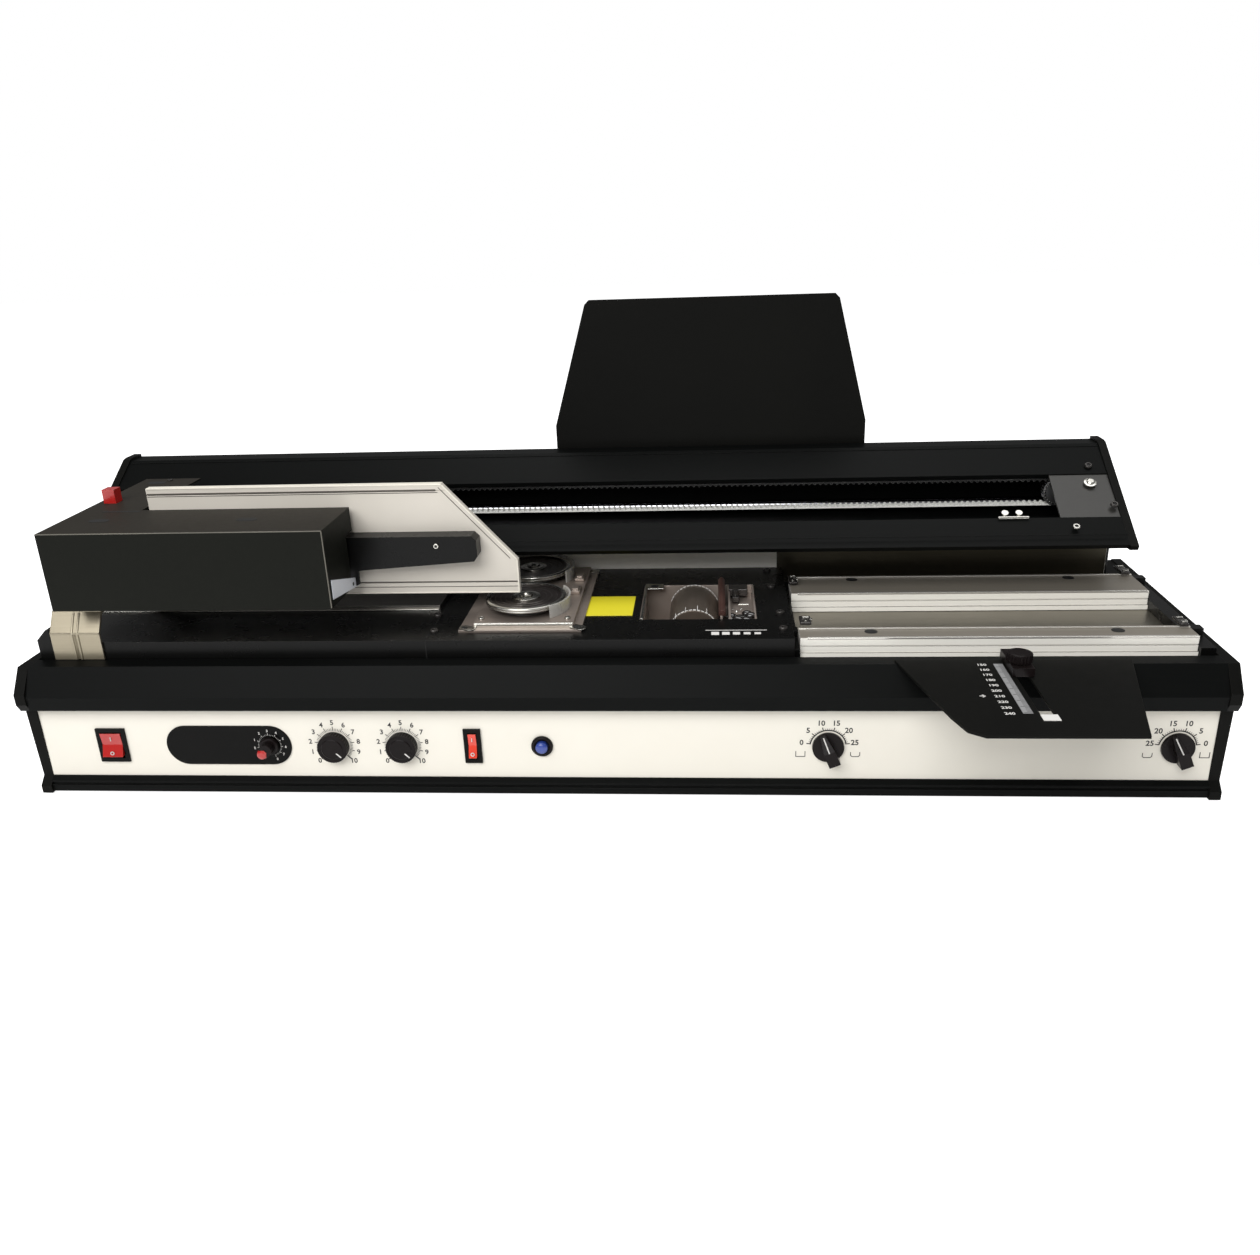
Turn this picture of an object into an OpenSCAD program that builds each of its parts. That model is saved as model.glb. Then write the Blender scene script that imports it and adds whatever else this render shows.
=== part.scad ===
// Desktop perfect binding machine: clamp carriage on a rear beam, notching discs,
// glue roller and nipping station in a low base. Millimetres, +X right, +Y back, +Z up.
// Depths are counted from the face of the front panel, then shifted to the middle.

/* [Base] */
// Length between the two side plates
base_l = 964; // [950:2:1000]
// Thickness of each side plate
side_t = 9; // [7:1:12]
// Depth from the front panel to the back of the base
base_d = 262; // [258:1:280]
// Height of the base at its side plates
base_h = 117; // [117:1:119]
// Height of the front panel's lower edge
panel_z0 = 16; // [14:1:18]
// Height of the front panel's upper edge
panel_z1 = 79; // [77:1:81]
// Thickness of the front panel
panel_t = 3; // [2:0.5:4]
// How far the front rail stands proud of the panel
rail_out = 11; // [9:1:14]
// Height of the rubber feet
foot_h = 4; // [3:0.5:4.5]
// Diameter of the rubber feet
foot_d = 26; // [18:1:34]
// Thickness of the sheet steel parts
sheet_t = 2; // [1.5:0.1:2.5]

/* [Decks] */
// Height of the deck's top
deck_z = 132; // [130:1:134]
// Distance of the deck's front face behind the panel
deck_y = 19; // [18:1:22]
// Distance of the wall behind the deck
wall_y = 201; // [196:1:204]
// Height of that wall's top edge
wall_z = 158; // [150:1:164]
// Place of the seam between the left and middle decks
seam_x = -147; // [-150:1:-140]
// Place of the middle deck's right end
deck_x1 = 154; // [150:1:156]
// Front edge of the levelling plate
level_y = 91; // [89:1:95]
// Thickness of the levelling plate
level_t = 4; // [3:0.5:6]

/* [Notching unit] */
// Diameter of each notching disc
disc_d = 69; // [60:1:72]
// Thickness of each notching disc
disc_t = 4; // [3:0.5:5]
// Height of the discs' top faces
disc_z = 148; // [147:0.5:149]
// Place along the machine of the front disc
disc1_x = -72; // [-76:1:-66]
// Depth of the front disc's centre
disc1_y = 82; // [78:1:84]
// Place along the machine of the rear disc
disc2_x = -78; // [-80:1:-70]
// Depth of the rear disc's centre
disc2_y = 163; // [160:1:164]
// Diameter of the notching motors
notch_motor_d = 52; // [40:1:60]
// Length of the notching motors
notch_motor_l = 64; // [50:1:80]

/* [Glue unit] */
// Left edge of the glue opening
glue_x0 = 26; // [24:1:30]
// Right edge of the glue opening
glue_x1 = 126; // [124:1:130]
// Front edge of the glue opening
glue_y0 = 64; // [60:1:66]
// Rear edge of the glue opening
glue_y1 = 155; // [152:1:158]
// Depth of the glue tank below the deck
tank_h = 46; // [44:1:56]
// Diameter of the glue roller
roller_d = 44; // [36:1:46]
// Length of the glue roller
roller_l = 68; // [60:1:72]
// Height of the roller's top above the deck
roller_up = 3; // [1:0.5:5]

/* [Nipping station] */
// Gap between the deck and the left end of the jaws
jaw_gap = 5; // [4:1:8]
// Gap between the right end of the jaws and the side plate
jaw_end = 12; // [10:1:20]
// Height of the jaws' tops
jaw_z = 130; // [126:1:134]
// Height of the nipping bed's top
bed_z = 112; // [110:1:114]
// Width of the front jaw
jaw1_w = 21; // [18:1:30]
// Width of the rear jaw
jaw2_w = 45; // [35:1:52]
// Front face of the front jaw
jaw1_y = 28; // [26:1:30]
// Front face of the rear jaw
jaw2_y = 134; // [132:1:138]

/* [Beam] */
// How far the beam's left end reaches past the base's inside
beam_over = 9; // [6:1:9]
// Distance of the beam's right end from the right side plate
beam_short = 32; // [28:1:36]
// Thickness of the beam's end caps
cap_t = 7; // [5:1:7]
// Wall of the beam's extrusion
beam_t = 4; // [3:0.5:4.5]
// Height of the beam's underside
beam_z0 = 172; // [168:1:176]
// Height of the beam's top
beam_z1 = 240; // [238:1:246]
// Depth of the lower front edge
beam_y0 = 119; // [118:1:122]
// Depth of the upper front edge
beam_y1 = 229; // [226:1:232]
// Depth of the beam's back
beam_y2 = 250; // [249:1:252]
// Start of the front slot, measured down the sloping face
slot_s0 = 40; // [36:1:44]
// End of the front slot, measured down the sloping face
slot_s1 = 94; // [92:1:98]
// Diameter of the two guide rods
rod_d = 10; // [8:0.5:10]
// Running clearance of bores on the rods and shafts, on the radius
run_gap = 0.05; // [0.02:0.01:0.1]

/* [Belt drive] */
// Tooth pitch of the belt
belt_pitch = 5.08; // [4.5:0.02:6]
// Width of the belt
belt_w = 10; // [6:1:12]
// Thickness of the belt's back
belt_t = 1.2; // [1:0.1:1.6]
// Height of a belt tooth
tooth_h = 1.4; // [1:0.1:1.8]
// Radius at which the belt's back runs round the pulleys
belt_r = 12.5; // [11:0.1:13]
// Distance of the drive pulley from the beam's left end
drive_in = 29; // [28:1:31]
// Distance of the idler pulley from the beam's right end
idler_in = 48; // [42:1:52]
// Diameter of the carriage motor
drive_motor_d = 24; // [20:1:25]

/* [Carriage] */
// Distance of the carriage cover from the left side plate
cover_in = 35; // [32:1:38]
// Length of the carriage cover
cover_l = 233; // [220:1:240]
// Depth of the carriage cover's front part
cover_d = 70; // [66:1:72]
// Height of the cover's top
cover_z1 = 232; // [228:1:236]
// Height of the cover's lower edge
cover_z0 = 167; // [165:1:172]
// Thickness of the cover's sheet
cover_t = 1.5; // [1:0.1:2]
// Distance of the clamp plates from the cover's left end
clamp_in = 56; // [54:1:62]
// Length of the clamp plates
clamp_l = 315; // [300:1:320]
// Height of the clamp plates' lower edge
clamp_z0 = 153; // [151:0.5:155]
// Height of the clamp plates' upper edge
clamp_z1 = 248.5; // [244:0.5:252]
// Front face of the front clamp plate when open
clamp_y = 77; // [76:0.5:78]
// Thickness of the clamp plates
clamp_t = 6; // [5:0.5:6]
// Opening between the clamp plates
clamp_gap = 27; // [26.5:0.5:28]
// Diameter of the pins that guide the front clamp plate
pin_d = 8; // [6:0.5:10]

/* [Guide plate and cover tray] */
// Distance of the guide plate from the right side plate
guide_right = 70; // [62:1:74]
// Width of the guide plate at its back
guide_w = 181; // [170:1:190]
// How far the guide plate reaches in front of the panel
guide_out = 124; // [115:1:130]
// Distance of the slot from the guide plate's left edge
guide_slot_in = 90; // [86:1:95]
// Length of the guide plate's slot
guide_slot_l = 84; // [80:1:88]
// Left edge of the cover tray
tray_x0 = -62; // [-65:1:-50]
// Width of the cover tray
tray_w = 296; // [285:1:300]
// Height of the cover tray's top
tray_z1 = 378; // [370:1:385]
// Thickness of the cover tray
tray_t = 3; // [2:0.5:4]

/* [Controls] */
// Height of the row of controls
ctrl_z = 45.5; // [44:0.5:47]
// Place of the power switch, as a share of half the base's length
power_at = -0.8749; // [-0.8799:0.0001:-0.8699]
// Place of the mode switch, as a share of half the base's length
mode_at = -0.2295; // [-0.2345:0.0001:-0.2245]
// Place of the start button, as a share of half the base's length
start_at = -0.1091; // [-0.1141:0.0001:-0.1041]
// Place of the pressure knob, as a share of half the base's length
press_at = -0.4737; // [-0.4787:0.0001:-0.4687]
// Place of the time knob, as a share of half the base's length
time_at = -0.3529; // [-0.3579:0.0001:-0.3479]
// Place of the temperature dial, as a share of half the base's length
temp_at = -0.5892; // [-0.5942:0.0001:-0.5842]
// Place of the left spine knob, as a share of half the base's length
spine1_at = 0.3755; // [0.3705:0.0001:0.3805]
// Place of the right spine knob, as a share of half the base's length
spine2_at = 0.9419; // [0.9369:0.0001:0.9469]
// Diameter of the pressure and time knobs
knob_d = 25; // [20:0.5:28]
// Height of these knobs
knob_h = 8; // [6:0.5:14]
// How far the temperature dial stands out
temp_h = 12; // [8:0.5:16]
// Diameter of the spine knobs' skirts
spine_d = 25.5; // [22:0.5:30]
// Diameter of every knob's spindle
spindle_d = 6; // [5:0.5:7]
// Width of the power switch
power_w = 25.5; // [22:0.5:28]
// Width of the mode switch
mode_w = 14.5; // [12:0.5:16]
// Height of both switches
switch_h = 31; // [28:0.5:33]
// Diameter of the start button's bezel
start_d = 18; // [16:0.5:20]

/* [Hidden] */
$fn = 64;
eps = 0.01;
// Running gap between faces that slide past each other
slide_gap = 0.3;
half_l = base_l / 2;
side_x = half_l + side_t;
power_x = half_l * power_at;
mode_x = half_l * mode_at;
start_x = half_l * start_at;
press_x = half_l * press_at;
time_x = half_l * time_at;
temp_x = half_l * temp_at;
spine1_x = half_l * spine1_at;
guide_x1 = half_l - guide_right;
guide_x0 = guide_x1 - guide_w;
guide_slot_x = guide_x0 + guide_slot_in;
spine2_x = half_l * spine2_at;
beam_x0 = -half_l - beam_over;
beam_x1 = half_l - beam_short;
drive_x = beam_x0 + drive_in;
idler_x = beam_x1 - idler_in;
cover_x0 = -half_l + cover_in;
clamp_x0 = cover_x0 + clamp_in;
inlet_out = 2;
y_mid = (base_d + inlet_out - guide_out) / 2;
// Rail, its foot and the step that carries the guide plate
rail_back = 17;
rail_z1 = base_h;
ridge_z = rail_z1 - 23;
lip_z = panel_z1 + 3;
lip_in = 3;
bottom_rail_out = 5;
bottom_rail_in = 20;
groove_d = 1.5;
groove_w = 2.5;
// Inside of the base
pan_z = foot_h + sheet_t;
rear_t = 2;
skirt_h = 17;
shelf_z = base_h - 1;
foot_inset_x = 40;
foot_inset_y = 34;
// Power inlet in the rear panel
inlet_x = -400;
inlet_z = 45;
inlet_w = 28;
inlet_h = 21;
inlet_deep = 20;
vent_w = 50;
vent_h = 4;
vent_n = 6;
vent_step = 9;
vent_x = 250;
vent_z = 35;
// Base
rail_wall = 3;
// Rim of a switch frame, its depth behind the panel, and the play round its rocker
frame_w = 2.5;
frame_out = 2;
frame_in = 16;
frame_wall = 1;
spindle_play = 0.05;
// Decks
deck_play = 2;
deck_end = -half_l + deck_play;
end_block_w = 12;
end_block_up = 11;
end_block_d = 40;
end_chamfer = 9;
deck_x0 = deck_end + end_block_w;
rest_x0 = deck_x0 + 2;
rest_w = 43;
level_x0 = rest_x0 + rest_w + 16;
level_w = 70;
wall_end = half_l - 28;
wall_step = 5;
wall_drop = 4;
// Folded metal rest at the left end, with a rib pressed down its middle
rest_t = 2;
rest_rib = 2;
rest_play = 0.3;
rest_y0 = deck_y - rest_play - rest_t;
rest_z0 = rail_z1 + slide_gap;
rest_z1 = deck_z + 25;
rest_crease = deck_z + 8.7;
rest_lean = 10;
rest_top = 8;
spindle_hole = 16;
// Notching unit
tray_t0 = 2;
plinth_t = 4;
plinth_z = deck_z + tray_t0 + plinth_t;
plinth_left = 12;
plinth_right = 7;
plinth_front = 6;
plinth_back = 3;
notch_x0 = -123;
notch_x1 = -20;
notch_y0 = 36;
notch_y1 = 192;
guard_in = disc_d / 2 + 2.5;
guard_t = 1.5;
notch_spindle_d = 8;
housing_d = 30;
// Length of the spindle below each disc, down to the motor's socket
notch_drop = disc_z - disc_t - deck_z + 8;
// Glue unit
tank_wall = 2;
tank_play = 0.4;
tank_z0 = deck_z - tank_h;
roller_in = 46;
roller_x = glue_x0 + roller_in;
scraper_t = 2;
scraper_arm = 40;
scraper_arm_w = 6;
scraper_arm_h = 10;
roller_z = deck_z + roller_up - roller_d / 2;
roller_y0 = (glue_y0 + glue_y1 - roller_l) / 2;
shaft_d = 10;
heater_t = 8;
scraper_x = roller_x + roller_d / 2 + 1;
glue_motor_y0 = glue_y1 + 3;
// Nipping station
jaw_x0 = deck_x1 + jaw_gap;
jaw_x1 = half_l - jaw_end;
jaw_seat = bed_z + slide_gap;
// Black rails at both ends of the bed, with a stub that stops the front jaw
hook_h = 9;
// Guide plate
guide_z = rail_z1;
guide_t = 2;
guide_back = 6;
guide_in = 33;
stop_w = 16;
stop_l = 39;
stop_h = 7;
stop_back = 11;
slot_w = 10;
slot_y1 = -12;
slot_y0 = slot_y1 - guide_slot_l;
// Stop that slides towards the front, on a tongue in the slot
tongue_l = 8;
stop_knob_y = slot_y1 - 1;
stop_knob_d = 18;
stop_knob_h = 7;
// Beam
// Height of the lower front edge above the underside
beam_lip = 4;
face_run = sqrt(pow(beam_y1 - beam_y0, 2) + pow(beam_z1 - beam_z0 - beam_lip, 2));
face_y = (beam_y0 - beam_y1) / face_run;
face_z = (beam_z0 + beam_lip - beam_z1) / face_run;
beam_in0 = beam_x0 + cap_t;
beam_in1 = beam_x1 - cap_t;
cap_proud = 1.5;
post_w = 12;
post_y = 212;
post_d = 26;
head_t = 4;
head_w = 34;
rod_y0 = beam_y2 - beam_t - rod_d - 1;
rod_low_z = beam_z0 + beam_t + rod_d / 2 + 3;
rod_high_z = beam_z1 - beam_t - rod_d / 2 - 7;
pulley_z = 202;
belt_y0 = 200;
belt_in = belt_r - belt_t;
run_l = idler_x - drive_x;
tooth_n = floor(run_l / belt_pitch) - 3;
tooth_x0 = drive_x + (run_l - (tooth_n - 1) * belt_pitch) / 2;
tooth_w = 2.6;
tooth_top = 1.4;
flange_d = 24.5;
flange_t = 1.2;
bracket_t = 2;
// Carriage
block_l = 140;
block_x0 = cover_x0 + 8;
arm_z0 = 197;
arm_z1 = 208;
rear_clamp_y = clamp_y + clamp_t + clamp_gap;
clamp_x1 = clamp_x0 + clamp_l;
pin_z = cover_z1 - 16;
pin_y0 = 4;
bush_d = 14;
bush_out = 5;
rear_short = 16;
rear_over = 12;
pin_x = [clamp_x0 + 24, clamp_x0 + 158];
rear_top = clamp_z1 - 22;
arm_x0 = cover_x0 + cover_l - 22;
arm_x1 = clamp_x1 - 31;
arm_top = 208;
arm_low = 177;
arm_d = 16;
arm_t = 2;
// Bracket inside the cover that carries the guide pins and the clamp motor
frame_y0 = 36;
frame_y1 = 39;
motor_d = 30;
notch_y = cover_d;
cover_back = 184;
cover_neck = clamp_x0 - 3;
button_x = cover_x0 + 12;
button_y = 100;
button_w = 11;
button_up = 12;
// Controls
window_left = 90;
window_right = 18.5;
window_x0 = temp_x - window_left;
window_x1 = temp_x + window_right;
window_h = 36;
window_t = 1;
button_d = 10;
// A rocker that turns on an axis along the machine, inside its frame
rocker_play = 0.4;
rocker_back = 8;
rocker_tilt = 6;
rocker_axis = 6;
// Skirt and cap of the temperature dial
dial_d = 15;
dial_cap = 10.5;
// A skirt with a bar handle and a spindle that carries a cam inside the base
skirt_t = 3;
bar_w = 9.5;
bar_tip = 4;
bar_r = 12.7;
bar_out = 13;
bar_low = 5.5;
bar_turn = 23;
cam_y = 30;
cam_d = 20;
cam_t = 8;
board_x0 = -390;
board_l = 300;
board_y = 60;
board_d = 120;
board_t = 1.6;
board_in = 8;
standoff_h = 8;
standoff_d = 6;
// Power supply on the board
supply_in = 20;
supply_l = 70;
supply_d = 60;
supply_h = 40;

// Drawing corners of boxes
module slab(low, high) {
    translate(low) cube([high[0] - low[0], high[1] - low[1], high[2] - low[2]]);
}
// A profile given as [depth, height], drawn out along the machine
module along_x(x0, x1) {
    translate([x0, 0, 0])
        rotate([90, 0, 90])
            linear_extrude(height = x1 - x0)
                children();
}
// A profile given as [place, height], drawn out towards the back
module along_y(y0, y1) {
    translate([0, y1, 0])
        rotate([90, 0, 0])
            linear_extrude(height = y1 - y0)
                children();
}
// A round bar whose axis runs towards the back
module rod_y(x, y0, y1, z, d) {
    translate([x, y1, z])
        rotate([90, 0, 0])
            cylinder(h = y1 - y0, d = d);
}
// A round bar whose axis runs along the machine
module rod_x(x0, x1, y, z, d) {
    translate([x0, y, z])
        rotate([0, 90, 0])
            cylinder(h = x1 - x0, d = d);
}
module rod_z(x, y, z0, z1, d) {
    translate([x, y, z0])
        cylinder(h = z1 - z0, d = d);
}
// A flat plate outline with rounded corners
module round_box(w, h, r) {
    hull()
        for (sx = [-1, 1], sy = [-1, 1])
            translate([sx * (w / 2 - r), sy * (h / 2 - r)])
                circle(r = r);
}
// Every part is drawn from the front panel, then moved to the middle of its footprint
module place() {
    translate([0, -y_mid, 0]) children();
}

// ---- Base -----------------------------------------------------------------

// Outline of a side plate, as [depth, height]
module side_outline() {
    polygon([
        [base_d, base_h], [2, base_h], [-rail_out - 1, ridge_z + 3],
        [-rail_out - 1, ridge_z - 6], [-rail_out + 3, lip_z - 1], [-2, lip_z - 2],
        [0, panel_z0], [-bottom_rail_out - 2, panel_z0 - 7],
        [-bottom_rail_out - 2, foot_h - 2], [base_d, foot_h - 2]
    ]);
}
module left_side_plate() {
    color([0.1, 0.1, 0.1])
        place() along_x(-side_x, -half_l) side_outline();
}
module right_side_plate() {
    color([0.1, 0.1, 0.1])
        place() along_x(half_l, side_x) side_outline();
}
module front_rail() {
    color([0.09, 0.09, 0.1])
        place()
            along_x(-half_l, half_l)
                difference() {
                    polygon([
                        [rail_back, rail_z1], [2, rail_z1], [-rail_out, ridge_z],
                        [-rail_out + 1, lip_z], [-lip_in, panel_z1],
                        [rail_back, panel_z1]
                    ]);
                    polygon([
                        [rail_back + 1, rail_z1 - rail_wall],
                        [3, rail_z1 - rail_wall], [-rail_out + rail_wall + 1, ridge_z],
                        [-rail_out + rail_wall + 2, panel_z1 + rail_wall],
                        [rail_back + 1, panel_z1 + rail_wall]
                    ]);
                }
}
module bottom_rail() {
    color([0.1, 0.1, 0.1])
        place()
            along_x(-half_l, half_l)
                difference() {
                    polygon([
                        [-bottom_rail_out, foot_h - 1], [bottom_rail_in, foot_h - 1],
                        [bottom_rail_in, pan_z], [panel_t, pan_z],
                        [panel_t, panel_z0], [-1, panel_z0],
                        [-bottom_rail_out, panel_z0 - 3]
                    ]);
                    translate([-bottom_rail_out - 1, (panel_z0 + foot_h) / 2 - 1])
                        square([groove_d + 1, groove_w]);
                }
}
module base_pan() {
    color([0.6, 0.6, 0.6])
        place() {
            difference() {
                slab([-half_l, bottom_rail_in, foot_h], [half_l, base_d - rear_t, pan_z]);
                for (x = [inlet_x + vent_w * 2 : vent_w * 2 : vent_x])
                    for (i = [0 : vent_n - 1])
                        slab(
                            [x, base_d / 2 + i * vent_step, foot_h - 1],
                            [x + vent_w, base_d / 2 + i * vent_step + vent_h, pan_z + 1]
                        );
            }
        }
}
module rear_panel() {
    color([0.12, 0.12, 0.12])
        place()
            difference() {
                slab([-half_l, base_d - rear_t, foot_h], [half_l, base_d, shelf_z]);
                slab(
                    [inlet_x - inlet_w / 2, base_d - rear_t - 1, inlet_z - inlet_h / 2],
                    [inlet_x + inlet_w / 2, base_d + 1, inlet_z + inlet_h / 2]
                );
                for (i = [0 : vent_n - 1])
                    slab(
                        [vent_x, base_d - rear_t - 1, vent_z + i * vent_step],
                        [vent_x + vent_w * 2, base_d + 1, vent_z + i * vent_step + vent_h]
                    );
            }
}
module rubber_feet() {
    color([0.05, 0.05, 0.05])
        place()
            for (x = [-1, 1], y = [foot_inset_y, base_d - foot_inset_y])
                rod_z(x * (half_l - foot_inset_x), y, 0, foot_h, foot_d);
}
module switch_hole(x, w) {
    slab(
        [x - w / 2 + frame_w, -1, ctrl_z - switch_h / 2 + frame_w],
        [x + w / 2 - frame_w, panel_t + 1, ctrl_z + switch_h / 2 - frame_w]
    );
}
module front_panel() {
    color([0.94, 0.92, 0.88])
        place()
            difference() {
                slab([-half_l, 0, panel_z0], [half_l, panel_t, panel_z1]);
                switch_hole(power_x, power_w);
                switch_hole(mode_x, mode_w);
                rod_y(start_x, -1, panel_t + 1, ctrl_z, start_d - frame_w * 2);
                for (x = [press_x, time_x, temp_x, spine1_x, spine2_x])
                    rod_y(x, -1, panel_t + 1, ctrl_z, spindle_d + spindle_play * 2);
            }
}

// ---- Decks ----------------------------------------------------------------

module left_deck() {
    color([0.1, 0.1, 0.11])
        place() {
            difference() {
                slab([deck_end, deck_y, deck_z - skirt_h], [seam_x, wall_y, deck_z]);
                slab(
                    [-half_l, deck_y + sheet_t, deck_z - skirt_h - 1],
                    [seam_x - sheet_t, wall_y + 1, deck_z - sheet_t]
                );
            }
            along_y(deck_y, deck_y + end_block_d)
                polygon([
                    [deck_end, deck_z - sheet_t], [deck_end, deck_z + end_block_up - end_chamfer],
                    [deck_end + end_chamfer, deck_z + end_block_up],
                    [deck_x0, deck_z + end_block_up], [deck_x0, deck_z - sheet_t]
                ]);
        }
}
module levelling_plate() {
    color([0.45, 0.44, 0.42])
        place()
            slab(
                [level_x0, level_y, deck_z],
                [seam_x - level_t, level_y + level_w, deck_z + level_t]
            );
}
module carriage_rest() {
    color([0.75, 0.7, 0.6])
        place()
            difference() {
                along_x(rest_x0, rest_x0 + rest_w)
                    polygon([
                        [rest_y0, rest_z0], [rest_y0 + rest_t, rest_z0],
                        [rest_y0 + rest_t, rest_crease - 0.5],
                        [rest_y0 + rest_lean + 1.5, rest_z1 - rest_t],
                        [rest_y0 + rest_lean + rest_top, rest_z1 - rest_t],
                        [rest_y0 + rest_lean + rest_top, rest_z1],
                        [rest_y0 + rest_lean, rest_z1], [rest_y0, rest_crease]
                    ]);
                translate([rest_x0 + rest_w / 2, rest_y0, rest_z0])
                    rotate([0, 0, 45])
                        translate([-rest_rib / 2, -rest_rib / 2, -1])
                            cube([rest_rib, rest_rib, skirt_h + 6]);
            }
}
module middle_deck() {
    color([0.08, 0.08, 0.09])
        place()
            difference() {
                slab([seam_x, deck_y, deck_z - skirt_h], [deck_x1, wall_y, deck_z]);
                slab(
                    [seam_x + sheet_t, deck_y + sheet_t, deck_z - skirt_h - 1],
                    [deck_x1 - sheet_t, wall_y + 1, deck_z - sheet_t]
                );
                slab([glue_x0, glue_y0, bed_z], [glue_x1, glue_y1, deck_z + 1]);
                rod_z(disc1_x, disc1_y, bed_z, deck_z + 1, spindle_hole);
                rod_z(disc2_x, disc2_y, bed_z, deck_z + 1, spindle_hole);
            }
}
module deck_walls() {
    color([0.86, 0.84, 0.8])
        place()
            along_y(wall_y, wall_y + sheet_t)
                polygon([
                    [-half_l, pan_z], [half_l, pan_z], [half_l, shelf_z], [wall_end, shelf_z],
                    [wall_end, wall_z - wall_drop], [deck_x1 - wall_step, wall_z - wall_drop],
                    [deck_x1 - wall_step, wall_z], [-half_l, wall_z]
                ]);
}
module rear_shelf() {
    color([0.12, 0.12, 0.12])
        place()
            slab([-half_l, wall_y + sheet_t, shelf_z - sheet_t], [half_l, base_d - rear_t, shelf_z]);
}

// ---- Notching unit --------------------------------------------------------

module notch_tray() {
    color([0.7, 0.7, 0.7])
        place()
            difference() {
                union() {
                    slab([notch_x0, notch_y0, deck_z], [notch_x1, notch_y1, deck_z + tray_t0]);
                    slab(
                        [notch_x0 + plinth_left, notch_y0 + plinth_front, deck_z],
                        [notch_x1 - plinth_right, notch_y1 - plinth_back, plinth_z]
                    );
                }
                rod_z(disc1_x, disc1_y, bed_z, disc_z, spindle_hole);
                rod_z(disc2_x, disc2_y, bed_z, disc_z, spindle_hole);
            }
}
module guard(x, y, a0, a1) {
    translate([x, y, plinth_z])
        rotate([0, 0, a0])
            rotate_extrude(angle = a1 - a0, $fn = 16)
                translate([guard_in, 0])
                    square([guard_t, disc_z - plinth_z + 1]);
    translate([x, y, plinth_z])
        difference() {
            cylinder(h = disc_z - disc_t - 2 - plinth_z, d1 = housing_d + 16, d2 = housing_d);
            translate([0, 0, -1])
                cylinder(h = disc_z, d = notch_spindle_d + run_gap * 2);
        }
}
module notch_guards() {
    color([0.6, 0.6, 0.6, 0.6])
        place() {
            guard(disc1_x, disc1_y, -50, 38);
            guard(disc2_x, disc2_y, -30, 60);
        }
}
module notch_disc(x, y) {
    difference() {
        rod_z(x, y, disc_z - disc_t, disc_z, disc_d);
        rod_z(x, y, disc_z - 1.2, disc_z + 1, disc_d - 8);
        rod_z(x, y, disc_z - 2.2, disc_z + 1, disc_d * 0.36);
    }
    rod_z(x, y, disc_z - disc_t - notch_drop, disc_z - 1, notch_spindle_d);
    rod_z(x, y, disc_z - 3, disc_z - 0.4, 12);
}
module front_notch_disc() {
    color([0.3, 0.27, 0.26])
        place() notch_disc(disc1_x, disc1_y);
}
module rear_notch_disc() {
    color([0.3, 0.27, 0.26])
        place() notch_disc(disc2_x, disc2_y);
}
module notch_motors() {
    color([0.5, 0.5, 0.52])
        place()
            for (p = [[disc1_x, disc1_y], [disc2_x, disc2_y]])
                difference() {
                    rod_z(p[0], p[1], deck_z - sheet_t - notch_motor_l, deck_z - sheet_t, notch_motor_d);
                    rod_z(
                        p[0], p[1], deck_z - 9, deck_z, notch_spindle_d + run_gap * 2
                    );
                }
}

// ---- Glue unit ------------------------------------------------------------

module glue_tank() {
    color([0.62, 0.6, 0.58])
        place()
            difference() {
                slab(
                    [glue_x0 + tank_play, glue_y0 + tank_play, tank_z0],
                    [glue_x1 - tank_play, glue_y1 - tank_play, deck_z - 1]
                );
                slab(
                    [glue_x0 + tank_wall, glue_y0 + tank_wall, tank_z0 + tank_wall],
                    [glue_x1 - 24, glue_y1 - tank_wall, deck_z]
                );
                slab(
                    [glue_x1 - 24 + tank_wall, glue_y0 + tank_wall, deck_z - 8],
                    [glue_x1 - tank_wall, glue_y1 - tank_wall, deck_z]
                );
                rod_y(roller_x, glue_y0 - 1, glue_y1 + 1, roller_z, shaft_d + run_gap * 2);
            }
}
module glue_heater() {
    color([0.4, 0.4, 0.42])
        place()
            slab(
                [glue_x0 + 4, glue_y0 + 4, tank_z0 - heater_t],
                [glue_x1 - 4, glue_y1 - 4, tank_z0]
            );
}
module glue_scraper() {
    color([0.35, 0.3, 0.28])
        place() {
            slab(
                [scraper_x, glue_y0 + tank_wall, roller_z],
                [scraper_x + scraper_t, glue_y1 - tank_wall, deck_z + scraper_t]
            );
            slab(
                [scraper_x + scraper_t, glue_y1 - scraper_arm, roller_z],
                [glue_x1 - 24, glue_y1 - scraper_arm + scraper_arm_w, roller_z + scraper_arm_h]
            );
        }
}
module glue_roller() {
    color([0.5, 0.45, 0.42])
        place() {
            rod_y(roller_x, roller_y0, roller_y0 + roller_l, roller_z, roller_d);
            rod_y(roller_x, glue_y0 + tank_wall / 2, glue_motor_y0 + 6, roller_z, shaft_d);
        }
}
module glue_motor() {
    color([0.45, 0.45, 0.47])
        place()
            difference() {
                slab(
                    [roller_x - 20, glue_motor_y0, roller_z - 18],
                    [roller_x + 20, wall_y, deck_z - sheet_t]
                );
                rod_y(roller_x, glue_motor_y0 - 1, glue_motor_y0 + 8, roller_z, shaft_d + run_gap * 2);
            }
}

// ---- Nipping station ------------------------------------------------------

module nip_bed() {
    color([0.58, 0.55, 0.5])
        place() slab([deck_x1, deck_y, bed_z - 4], [half_l, wall_y, bed_z]);
}
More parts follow.
